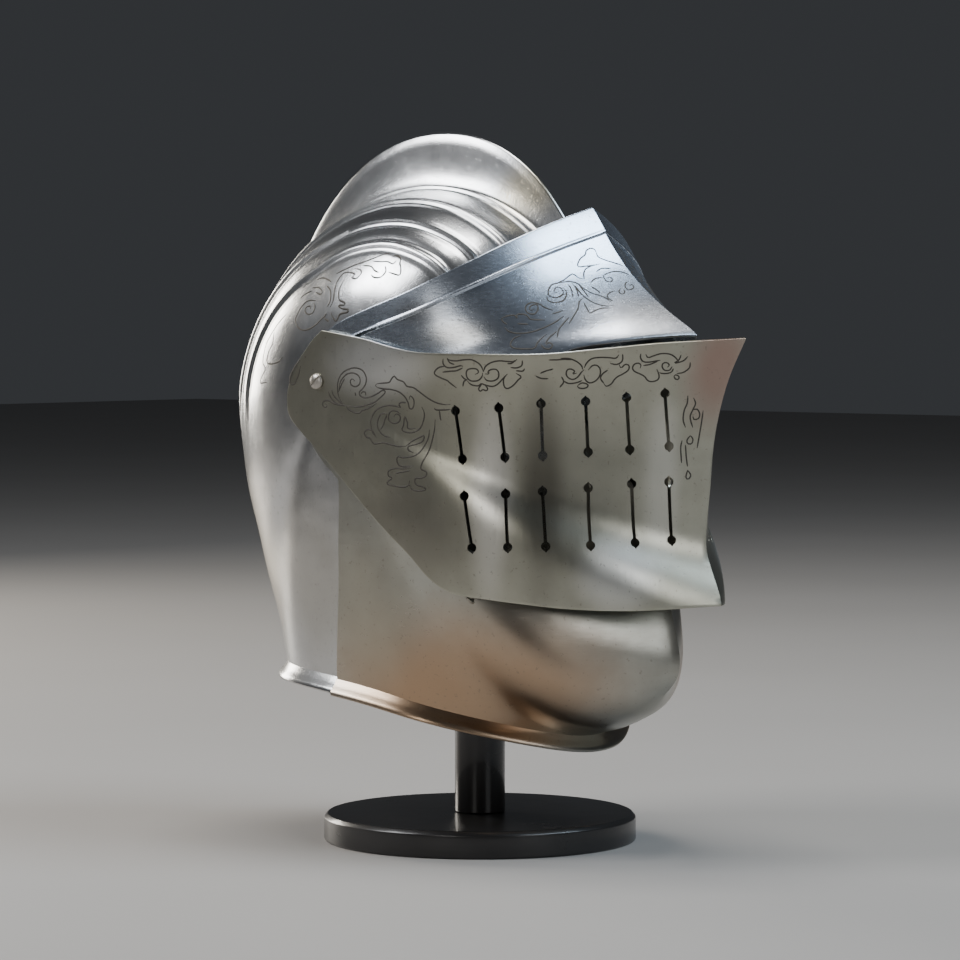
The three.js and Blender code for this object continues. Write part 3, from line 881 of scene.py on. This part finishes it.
def makeScrew(side, name):
    low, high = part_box("pivot_screw_left")
    inner, outer = low.x / mm, high.x / mm
    seatAt = outer - screw["rise"]
    flangeEnd = inner + screw["flangeDeep"]
    lipEnd = seatAt + screw["lip"]
    profile = [(inner, screw["flange"]), (flangeEnd, screw["flange"]), (flangeEnd, screw["shank"])]
    profile += [(seatAt, screw["shank"]), (seatAt, screw["radius"]), (lipEnd, screw["radius"])]
    for turn in range(15, 90, 12):
        bend = math.radians(turn)
        profile.append((lipEnd + screw["dome"] * math.sin(bend), screw["radius"] * math.cos(bend)))
    rings = [(profile[0][0], 0), *profile, (outer, 0)]

    def spot(around, length):
        reach, radius = rings[int(length * (len(rings) - 1) + 0.5)]
        turn = 2 * math.pi * around
        across, rise = radius * mm * math.cos(turn), radius * mm * math.sin(turn)
        return Vector((reach * mm * side, pivot.y + across, pivot.z + rise))

    obj = bentGrid(name, 48, len(rings) - 1, spot)
    editMesh(obj, outwards)
    bpy.ops.mesh.primitive_cube_add(size=1)
    slot = bpy.context.object
    lean = Matrix.Rotation(math.radians(screw["turn"]) * side, 4, "X")
    shape = Matrix.Diagonal((2 * screw["slotDeep"] * mm, 14 * mm, screw["slotWide"] * mm, 1))
    slot.data.transform(Matrix.Translation((side * outer * mm, pivot.y, pivot.z)) @ lean @ shape)
    cut = obj.modifiers.new("slot", "BOOLEAN")
    cut.object = slot
    cut.solver = "EXACT"
    bevel = obj.modifiers.new("softEdge", "BEVEL")
    bevel.width = 0.12 * mm
    bevel.segments = 2
    bevel.limit_method = "ANGLE"
    bevel.angle_limit = math.radians(40)
    finishModifiers(obj)
    bpy.data.objects.remove(slot)
    return smooth(obj)


def turnedPiece(name, profile, segments, softEdge):
    # profile of radius and height, spun round the upright axis
    def spot(around, rising):
        radius, height = profile[int(rising * (len(profile) - 1) + 0.5)]
        turn = 2 * math.pi * around
        return Vector((radius * math.cos(turn), radius * math.sin(turn), height))

    obj = bentGrid(name, segments, len(profile) - 1, spot)
    editMesh(obj, outwards)
    bevel = obj.modifiers.new("softEdge", "BEVEL")
    bevel.width = softEdge * mm
    bevel.segments = 3
    bevel.limit_method = "ANGLE"
    bevel.angle_limit = math.radians(28)
    finishModifiers(obj)
    return smooth(obj)


def makeStand():
    low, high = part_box("stand_base")
    radius, top = high.x, high.z
    base = [(0, 0), (radius - 0.0008, 0), (radius, 0.0008), (radius, top - 0.0022)]
    base += [(radius - 0.0022, top), (0, top)]
    disc = turnedPiece("standDisc", base, 128, 0.5)
    low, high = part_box("stand_post")
    post = 14 * mm
    pad = high.x
    tube = [(0, low.z), (post, low.z), (post, high.z - 0.022), (pad, high.z - 0.010)]
    tube += [(pad, high.z), (0, high.z)]
    return disc, turnedPiece("standTube", tube, 64, 0.6)


etchedLines = {  # forward and up in turn, of the points that each cut line passes
    "skull": [
        [34.6, 66.9, 37.1, 67.8, 40.6, 66, 41.3, 63.6, 43.1, 61, 43.9, 57.5, 40.9, 57.8, 36.2, 59],
        [23.1, 64.9, 28.8, 64.6, 33, 64.6, 37.1, 63.4, 38.4, 65.1],
        [17.2, 62.6, 23.1, 62, 26.6, 59.9, 29.9, 58.7],
        [32.8, 62.2, 34.3, 59.3, 32.3, 56.4, 28.1, 56.1, 25.1, 57.6],
        [11.4, 60.9, 16, 60.3, 17.5, 58.2, 14.8, 55.6, 11, 56.2, 12.9, 57.6, 8.9, 58.8, 3.7, 58.6,
         1.2, 56.2, -0.1, 53, -0.1, 48.9, 0.7, 43.6, -1, 40.1],
        [5.5, 54.7, 4.2, 51.8, 3.8, 48.3, 5.5, 44.2, 9.7, 42.7, 10.2, 41.2, 5.8, 41, 8.4, 39.5, 13, 38.9,
         13.4, 37.5, 8.5, 36.6, 7.1, 35.4, 5.4, 32.5, 1.9, 35.4, 0.7, 37.1],
        [32, 69.3, 25.5, 67.5, 19, 65.2, 10.2, 62.9, 3.4, 60.6, -2.8, 58.3],
        [-19.8, 55.1, -14.9, 56, -7.9, 54.8, -4.8, 53.6],
        [-8.3, 51.8, -3.5, 48.9, -1.9, 43.6, -3.6, 40.1],
        [-21.5, 50.7, -15.1, 50.7, -11.2, 48.6, -12.2, 47.1, -17, 48.3],
        [-16.3, 42.4, -14.4, 40, -15.3, 37.1, -18.8, 36.2, -22.3, 37.7, -22.2, 40, -18.9, 40.6,
         -17.8, 38.9],
        [-14.7, 43.6, -21.7, 43.6, -26.5, 40.6, -28.9, 36.5, -29.6, 32.9, -26.3, 29.4, -21.2, 27.6,
         -15.7, 28.3, -10.7, 30.6, -6.7, 33.6, -2.7, 36.5],
        [-3.7, 36.5, -4.1, 34.2, -0.2, 32.4],
        [-21.4, 48.9, -26.9, 47.1, -30.7, 44.8],
        [-39.9, 36.4, -46.1, 31.6, -51.3, 26.2, -55.6, 20.8, -57.4, 14.8, -57.3, 9.5, -53.8, 5.9, -58, 0.5,
         -57.8, -1.9, -50.5, -1.2],
        [-49.7, 26.3, -48.7, 20.3, -52.2, 14.9, -52.1, 9.5, -46, 9, -39.7, 10.3, -36.8, 12.7],
    ],
    "visor": [
        [119.5, 69.3, 118.1, 71.2, 116.8, 71.8, 116.3, 70.4, 117, 68.2, 116.6, 66.3, 117.2, 63.2,
         118.2, 61.7, 120, 62.1, 121.8, 62.5, 123.3, 63.3],
        [119.5, 69.3, 121.1, 67.1, 123.4, 65.6, 125.8, 64.4, 128.3, 63.3, 130.3, 62.2],
        [122.8, 55.3, 121.2, 58.3, 120.7, 61, 121.8, 62.1],
        [124.5, 59.1, 124.7, 60.6, 125.6, 61, 127.6, 60.8],
        [127.4, 57.2, 128.4, 58.7, 130.4, 59.3, 132.9, 58.4, 134.8, 57.3],
        [127.4, 57.2, 129.5, 54.6, 131.4, 53.5, 131.5, 54.6, 130.1, 56.2, 129.1, 55.9],
        [125.8, 53.4, 126.1, 55.3, 127.7, 56.1],
        [122.8, 55.3, 121, 55.7, 118.2, 57.9, 117.5, 56.8, 117, 54.9, 115.6, 53, 114.2, 52.3, 114.2, 49.3,
         115.7, 46.3, 118.7, 45.2, 120, 47.1, 118.5, 49.7, 116.6, 50.9, 116, 49.7, 116.9, 47.8,
         117.9, 48.6],
        [115.1, 45.9, 116.4, 43.7, 119.2, 42.6, 121.7, 43.7, 121.2, 47.1, 119.2, 50.1],
        [116.2, 53, 118.3, 53.8, 121.5, 53.1, 124.9, 50.4, 128.8, 47.8, 132.4, 46.3, 135.4, 44.8,
         138.3, 42.6],
        [120, 53.1, 123.2, 50.1, 126.1, 47.1, 129.9, 44.1, 134, 41.8, 137.9, 40.7, 139.9, 41.1],
        [119.4, 52.3, 121.8, 49.3, 123.9, 45.6],
        [121.7, 51.6, 124, 48.6, 125.9, 45.6],
        [122.8, 52.2, 126.2, 48.6, 129.1, 45.6],
        [127.7, 45.2, 127.3, 43.3, 128.7, 39.6, 129.1, 35.9, 129.3, 31.1],
        [129.2, 42.6, 131.7, 39.6, 134.2, 37, 135.3, 38.5, 137, 39.6, 140, 39.6],
        [112.9, 39.2, 112.2, 38.3, 111.2, 39.5, 111.4, 41.1, 113.2, 41.5, 114.5, 39.2, 114.2, 36.6,
         111.5, 37, 109.6, 39.6, 109.8, 41.8, 111.3, 42.6, 114.1, 41.8, 116.7, 40, 120.1, 38.5],
        [101.6, 34.1, 103.8, 35.5, 106.6, 35.8, 108.1, 34.1, 107.5, 36.3, 110.3, 36.3, 112.1, 35.2,
         113.8, 33.7, 119.3, 33.3],
        [101.6, 34.1, 103.1, 32.2, 104.9, 31.1],
        [108.9, 31.5, 113.5, 31.1],
        [104.2, 29.6, 106.5, 27.4, 110.9, 26.3, 115.9, 27, 120.2, 29.2, 123.6, 32.2, 125.6, 35.5],
        [120.7, 36.6, 122.5, 37.4, 123.9, 38.5],
        [127.7, 34.8, 127.1, 31.5, 126.7, 28.5, 127.9, 24.1],
        [126.3, 27.4, 124.7, 24.1, 124.4, 20.8],
        [112.4, 25.2, 109.7, 23.7, 109.1, 20.4, 111.6, 18.5, 116.8, 18.2, 120.5, 18.6, 120.9, 21.9,
         122.7, 25.9],
        [122.8, 20.4, 124.7, 18.6, 127.3, 18.2, 127.6, 20.4, 125.3, 21.5, 125.1, 20],
        [136.9, 53.9, 136.3, 53.1, 137.6, 50.8, 139.6, 49.3, 140.2, 50.5, 138.6, 52.3, 138.3, 51.6],
        [136.6, 50.1, 137, 48.6, 138.7, 47.1, 139.3, 47.8, 137.8, 49.7],
        [135.6, 48.9, 134.5, 47.8, 135.2, 45.6, 138.2, 43.3],
        [127, 51.2, 129.9, 49.3, 131.6, 47.8],
    ],
    "ventail": [
        [18.8, -12.3, 15.5, -7.9, 14.6, -3.1, 15.6, 1.7, 18.8, 5.2, 24.1, 7.3, 28.7, 7.5, 32.6, 6,
         34.6, 2.6, 34.1, -0.8, 31.9, -3.6, 29.8, -5.3, 30.5, -7.3, 33.7, -8.3, 37.8, -7.6, 42.1, -5.8,
         45.3, -4.1, 46.9, -5.1, 44.4, -7.5, 40.3, -10.3, 35.3, -12, 30.2, -13.1, 25, -13.2, 20.6, -12.6],
        [15.5, -4.1, 16.9, 0.4, 20.6, 3.8, 25, 4.9, 28.7, 3.9, 30.4, 1.6, 29.8, -1.2, 27.1, -2.4,
         24.5, -1.6, 23.6, 0.4, 25, 1.7, 27, 0.5],
        [20.6, -12.6, 22.4, -14.6, 26.8, -16.3, 30.2, -16.4, 31.8, -15.2, 37.1, -13.4, 41.2, -10.9],
        [8.1, -5.3, 9.5, -8, 12.3, -10.7, 16.9, -12.3, 20.6, -12.7],
        [10.5, -4.5, 11.8, -7.3, 15.1, -10, 18.8, -12],
        [16.9, -12.7, 12.3, -11.7, 7.7, -10.1, 4.4, -10.8, 3.9, -12.5, 5.8, -13.9, 7.2, -12.8, 5.8, -11.8],
        [26.9, -5.5, 27.3, -7.4],
        [30.8, -6.4, 31.9, -5.1, 33.9, -5.4, 33.9, -7.1],
        [15.3, -5.2, 17.7, -1, 19.7, 1.8],
        [40.5, -1.7, 41.7, -0.7, 45.5, -0.3, 49.6, 0.2, 51.2, 2.1, 53, 3.4, 54.8, 1.8, 58.5, 0.5,
         60.5, -1.8, 64.3, -2.5, 67.9, -4.8, 72.2, -7.8, 76.5, -10.1, 80.8, -11.2, 84.8, -11.2],
        [40.5, -1.7, 42.1, -2.7, 46.2, -3.4, 51, -3.7, 55.7, -5, 59.1, -7.6, 60.9, -10.7, 61.6, -13.4,
         63.2, -13.7, 64.3, -11.6, 64.1, -8.6, 62.3, -6.9, 61.4, -9],
        [56.4, -13.4, 53.3, -12.5, 48.5, -12.2, 43.7, -13.3, 40.1, -15.7, 38, -19.1, 37.8, -22.6,
         39.1, -26.6, 41.8, -29.3],
        [41.4, -29, 39.1, -25.9, 35.7, -25.3, 33.6, -27.1, 35, -29.1, 37.5, -30.1, 40.5, -32.7, 45.9, -32.1,
         50.9, -32.9, 55.7, -33.8, 60.2, -33.7],
        [48, -16.6, 44.4, -16.7, 42.6, -19.1, 41.9, -22.5, 43.7, -25.9, 46.6, -28.2, 50.7, -29.1],
        [48, -17, 46.4, -20.4, 45.5, -23.1, 44.1, -25.2],
        [56.4, -16.8, 53.9, -15.2, 50.8, -15, 48.9, -17.3, 49.4, -20.3, 52.6, -21.6, 55.5, -20.6, 56, -17.8,
         53.7, -16.5, 52.1, -18.2],
        [68.8, -12.6, 70.2, -16, 69.7, -20, 67.7, -24.1, 64.1, -26.2, 60.3, -26.3, 57.3, -25, 58.2, -22.2,
         58.7, -18.1, 60.3, -20.8, 60.9, -24.2, 65.5, -24.2],
        [56.4, -13.4, 55.3, -11.5, 57.1, -10.4, 59.8, -10.7],
        [84.6, -13.9, 80.5, -14.2, 76.9, -14.2, 76, -13.2],
        [78.7, -14.5, 79, -17.9, 79.4, -19.9],
        [76.3, -19.3, 75.8, -24.7, 74.9, -29.4, 73.6, -34.2, 71.9, -38.9, 70.3, -42.3, 69.9, -45.4, 73, -47,
         73, -49, 70.1, -50.4, 67.2, -50.5, 66.5, -52.5, 68.1, -54.2, 71.9, -55.1, 73, -56.4, 69.6, -57.2,
         65.1, -56.6, 63.1, -53.9],
        [73.1, -24.7, 72.4, -29.5, 69.9, -34.2, 67.7, -37.3, 64.3, -39, 59.1, -39.8, 55.9, -39.2,
         55.2, -41.2, 56.8, -43.9, 60.9, -44.5, 65.4, -44.1],
        [60.2, -33.7, 63.4, -31, 68.4, -28.5, 70.2, -28.1, 69.3, -30.9, 65.7, -32.6, 61.6, -33.7,
         61.8, -35.7, 64.9, -37],
        [64, -45.1, 59.3, -45.6, 53.6, -45.7, 50, -47.1, 50, -49.5, 52.2, -50.8, 49.8, -52.6, 49.3, -54,
         53.8, -54.9, 59.5, -55.4, 62.6, -54.3, 63.3, -51.9],
        [63.3, -46.5, 59.3, -47.3, 54.5, -48.1],
        [-12.8, 11.7, -16.6, 7.5, -19.9, 2.6, -19.9, -1.2, -16.8, -1.5, -13.8, 3.4, -12.3, 8.3],
        [85.1, 13.3, 86.7, 12.2, 90.1, 11.9, 94.3, 12.5, 98.3, 12.5, 101.5, 10.8, 102.9, 8.8, 103.4, 6.2],
        [103.4, 6.2, 105, 9.1, 108.1, 11.1, 112, 12, 116.1, 11.7, 119.3, 11.7, 120.9, 12.9],
        [82.9, 13, 82.6, 10.4, 84.4, 8.4, 88.1, 8.4, 91.7, 9.3, 93.3, 9],
        [85.1, 13.2, 86.3, 11, 88.8, 9.9],
        [93.1, 8.2, 89.5, 6.7, 86, 6.4, 81.8, 5.9],
        [83.9, 9, 80.2, 8.4, 77.6, 6.4, 77.4, 4.6, 80.3, 2.9, 83.8, 1.5, 85.4, 0.1, 88.6, -2.5],
        [99, 4.8, 100.8, 5.7, 100.5, 7.4, 98.4, 7.9, 95.6, 7.3, 94.5, 5.3, 94.9, 2.7, 96.8, 1.3, 100.2, 1.6,
         102.4, 3.7, 103, 5.7],
        [104.1, 5.1, 106.2, 5.1, 105.7, 6.2, 107.5, 7.4, 110.1, 7.4, 110.9, 5.4, 110.1, 2.8, 107.5, 1.4,
         104.5, 1.7, 103.3, 3.7],
        [91.8, 4.4, 92.9, 2.7, 94.6, 1.6, 93, 1.3, 91.9, -1.6],
        [94.6, 1.3, 96.6, -0.7, 100, -1.2, 101.6, -0.1, 103.8, -0.9, 107, -1.5, 109.6, -0.3, 112.5, 2.6,
         115.1, 5.2],
        [102, -0.1, 100, -2.7, 100.7, -4.1, 102.1, -3.2, 103.7, -3.8, 104.5, -2.6, 103.2, -0.6],
        [119.8, 12.3, 117.9, 10.7, 115.9, 10.6],
        [123.3, 12.3, 122.4, 9.5, 119.7, 8.3, 117.1, 8.6],
        [123.6, 8, 122.3, 6.6, 119.3, 6.9],
        [114.2, 4.3, 112.7, 2, 112.6, -1.4, 114, -2.6, 116.7, -1.1, 119.6, 2, 121.2, 3.7, 119.1, 5.5],
        [135.2, 12.6, 138.5, 12.6, 142.1, 12.9, 145.4, 12.7],
        [130, 5.5, 133, 6.8, 136.3, 7.8],
        [127.9, 4.1, 129.9, 2.9, 133.2, 2.6],
        [139, 3.8, 139.4, 0.9, 137.3, -1.9],
        [140.5, 13.5, 144.3, 13.2, 146.9, 11.7, 148.4, 9.6, 148.4, 7.5],
        [149.3, 8.4, 150.7, 10.8, 153.3, 13.2, 156.7, 13.9, 160.3, 13.8, 162.9, 13.5, 164.6, 15.4],
        [166.1, 15.7, 165, 12, 162.5, 10.2, 160.1, 10.8],
        [163.4, 10.2, 163.8, 8.4, 165.7, 10.2, 167, 9.6, 166.2, 7.2, 163.6, 5.1, 161.5, 3.8, 160, 2.3,
         158.3, -0.1, 156.2, -1.3, 155.5, 0.2],
        [145.7, 5.7, 143.8, 5.1, 145, 6.6, 143.7, 7.8, 142, 7.2, 141.2, 4.8, 141.9, 3, 143.6, 2.3,
         145.7, 3.6, 147.6, 6, 149.1, 7.5],
        [150.6, 7.2, 152.9, 9.6, 154.8, 9.6, 155.5, 7.5, 154.6, 4.2, 152.3, 1.4, 149.8, 0.5, 148.5, 2.3,
         148.4, 4.8],
        [158.4, 7.2, 156.1, 5.4, 154.7, 2.9, 155.5, 0.2],
        [145.1, -0.7, 144.9, -1.9, 146.6, -2.5, 148.5, -1.9, 149.1, -0.4, 147, 0.5, 145.1, -0.7],
        [139.3, 1.7, 141.3, 0.2, 144.4, 0.5, 147.2, 1.7],
        [170.8, 8.1, 171.5, 9.9, 170.8, 10.9, 169.1, 10.2, 168, 8.1, 168.5, 6.4, 170, 5.3, 171.5, 3.8,
         172.2, 1.7, 173.7, 1.1, 175.8, 2, 176.8, 4.1, 176.8, 7.8],
        [173, 15.9, 172.3, 13.8, 172.8, 11.7, 174.9, 11.4, 177.5, 12, 179.2, 12.3],
        [174.7, 15.6, 175.1, 13.8, 177.3, 14.7, 180.5, 15.9, 183.4, 15.6, 184.9, 13.8, 185.4, 11.4],
        [172.3, 9.6, 174.9, 10.2, 178.3, 12],
        [177.3, 5.9, 178.6, 5.3, 181.3, 5.9, 182.8, 8],
        [180.7, 8.7, 181.7, 9.7, 181.3, 11.1, 179.8, 10.8, 179, 9, 179.4, 7.1, 181.1, 7.1, 182.6, 9.1],
        [187.3, 15.3, 185.8, 12.6, 183.7, 10.8, 187.1, 12, 189.4, 14.4],
        [189.4, 11.3, 188.3, 8.3, 185.6, 5.9, 183.2, 5.3],
        [182, 4.1, 183, 4.7, 183.7, 3.8, 183.2, 2.3, 182.2, 2.4, 182, 4.1],
        [184.9, -6.3, 184, -10.5, 182.5, -14.2, 181.5, -19.1, 181.8, -23.3],
        [186.6, -7.5, 186.8, -10.6, 185.3, -14.2, 184, -17.9, 184.2, -23.4],
        [185.3, -13.9, 186.9, -13.6, 187.4, -16.1, 186.7, -18.5, 185.2, -19.1, 185, -17.3],
        [183.1, -27.6, 183.7, -29.5, 183.1, -31.9, 181.8, -31.8, 181.8, -29.8, 183.1, -27.6],
        [180.1, -30.1, 179.3, -34.3, 179.2, -42.2],
        [181, -32.5, 180.9, -38.6, 181.1, -44.1],
        [181.1, -45.9, 182, -48.7, 181.1, -50.8, 180.4, -49.6, 181.1, -45.9],
        [188.8, -14.3, 187.5, -20.4, 186.2, -26.5, 184.7, -34.4],
    ],
}
etching = {"half": 0.68, "step": 0.8, "above": 0.12, "below": -0.08, "taper": 0.12, "tip": 0.45}


def etched(name, sections, strokes, settings):
    # each stroke is a narrow strip laid along the plate, a hair proud of it in the middle
    tip = settings["tip"]
    strips = []
    for stroke in strokes:
        line = Edge(list(zip(stroke[::2], stroke[1::2])))

        def onPlate(share, lift):
            where = line.at(share)
            normal = sections.outward(*where)
            return Vector((sections.width(*where), *where)) + normal * lift, normal

        def spot(along, across):
            middle, normal = onPlate(along, settings["above"] if across == 0.5 else settings["below"])
            run = onPlate(min(1, along + 0.02), 0)[0] - onPlate(max(0, along - 0.02), 0)[0]
            aside = run.cross(normal).normalized() * (2 * across - 1)
            full = smoothStep(0, settings["taper"], min(along, 1 - along))
            return place(*(middle + aside * settings["half"] * (tip + (1 - tip) * full)))

        strips.append(bentGrid(name, max(4, int(line.length / settings["step"])), 2, spot))
    obj = joined(*strips)
    twin = obj.modifiers.new("mirror", "MIRROR")
    twin.use_mirror_merge = False
    finishModifiers(obj)
    return smooth(obj)


skullPiece, skullSections = makeSkull(skull)
print("skull raised")
visorPiece, visorSections = makeVisor(visor)
print("visor bent")
ventailPiece, ventailSections = makeVentail(ventail)
print("ventail cut")
bevorPiece = makeBevor(bevor)
print("bevor bent")
discPiece, tubePiece = makeStand()

for piece, body, node, slot in (
    (skullPiece, "root", "skull", "polished_steel"),
    (visorPiece, "visor", "visor", "polished_steel"),
    (ventailPiece, "ventail", "ventail", "warm_steel"),
    (bevorPiece, "bevor", "bevor", "warm_steel"),
):
    settled(piece, body, node, slot, polishedSteel(node + "Steel", steelLooks[node]))
screwFinish = screwMetal()
for side, name, node in ((-1, "screwRight", "pivot_screw_right"), (1, "screwLeft", "pivot_screw_left")):
    settled(makeScrew(side, name), "root", node, "screw_steel", screwFinish)
black = satinBlack()
settled(discPiece, "root", "stand_base", "stand_black", black)
settled(tubePiece, "root", "stand_post", "stand_black", black)
lineFinish = darkLine()
for name, body, sections, slot in (
    ("skull", "root", skullSections, "polished_steel"),
    ("visor", "visor", visorSections, "polished_steel"),
    ("ventail", "ventail", ventailSections, "warm_steel"),
):
    lines = etched(name + "Etching", sections, etchedLines[name], etching)
    settled(lines, body, None, slot, lineFinish)
print("pieces settled")

studio = {
    "aim": (0, 0, 0.200),
    "azimuth": -50,
    "elevation": 2.6,
    "distance": 2.2,
    "lens": 148.4,
    "world": rgb(0.30, 0.32, 0.35),
    "worldStrength": 0.12,
    "lights": [  # place, size in metres, watts, colour
        ((0.1, 0.1, 2.3), 0.8, 26, (1.0, 0.99, 0.97)),
        ((-1.2, 1.1, 1.6), 0.9, 34, (0.97, 0.98, 1.0)),
        ((0.3, 2.1, 0.6), 0.8, 30, (1.0, 0.94, 0.84)),
        ((0.6, -1.5, 1.9), 1.3, 46, (0.72, 0.86, 1.0)),
        ((-2.4, -0.6, 1.0), 0.7, 7, (1.0, 0.98, 0.94)),
        ((-0.5, -2.4, 0.8), 0.9, 7, (0.96, 0.98, 1.0)),
    ],
}


def makeStudio():
    turn, lift = math.radians(studio["azimuth"]), math.radians(studio["elevation"])
    away = Vector((math.sin(turn) * math.cos(lift), -math.cos(turn) * math.cos(lift), math.sin(lift)))
    aim = Vector(studio["aim"])
    bpy.ops.object.camera_add(location=aim + away * studio["distance"])
    camera = bpy.context.object
    camera.rotation_euler = (-away).to_track_quat("-Z", "Y").to_euler()
    camera.data.lens = studio["lens"]
    camera.data.sensor_width = 36
    bpy.context.scene.camera = camera
    for spot, size, watts, colour in studio["lights"]:
        bpy.ops.object.light_add(type="AREA", location=spot)
        lamp = bpy.context.object
        lamp.data.size = size
        lamp.data.energy = watts
        lamp.data.color = colour
        lamp.rotation_euler = (aim - Vector(spot)).to_track_quat("-Z", "Y").to_euler()
    world = bpy.data.worlds.new("softRoom")
    world.use_nodes = True
    world.node_tree.nodes["Background"].inputs[0].default_value = studio["world"]
    world.node_tree.nodes["Background"].inputs[1].default_value = studio["worldStrength"]
    bpy.context.scene.world = world
    bpy.ops.mesh.primitive_plane_add(size=14)
    floor = bpy.context.object
    floor.name = "floor"
    shader = Shader("paleFloor")
    cloud = shader.noise(shader.spot(), 3, 2)
    colour = shader.blend(cloud, rgb(0.34, 0.32, 0.30), rgb(0.37, 0.35, 0.33))
    floor.data.materials.append(shader.surface({"Base Color": colour, "Roughness": 0.6}))


makeStudio()
print("studio lit")
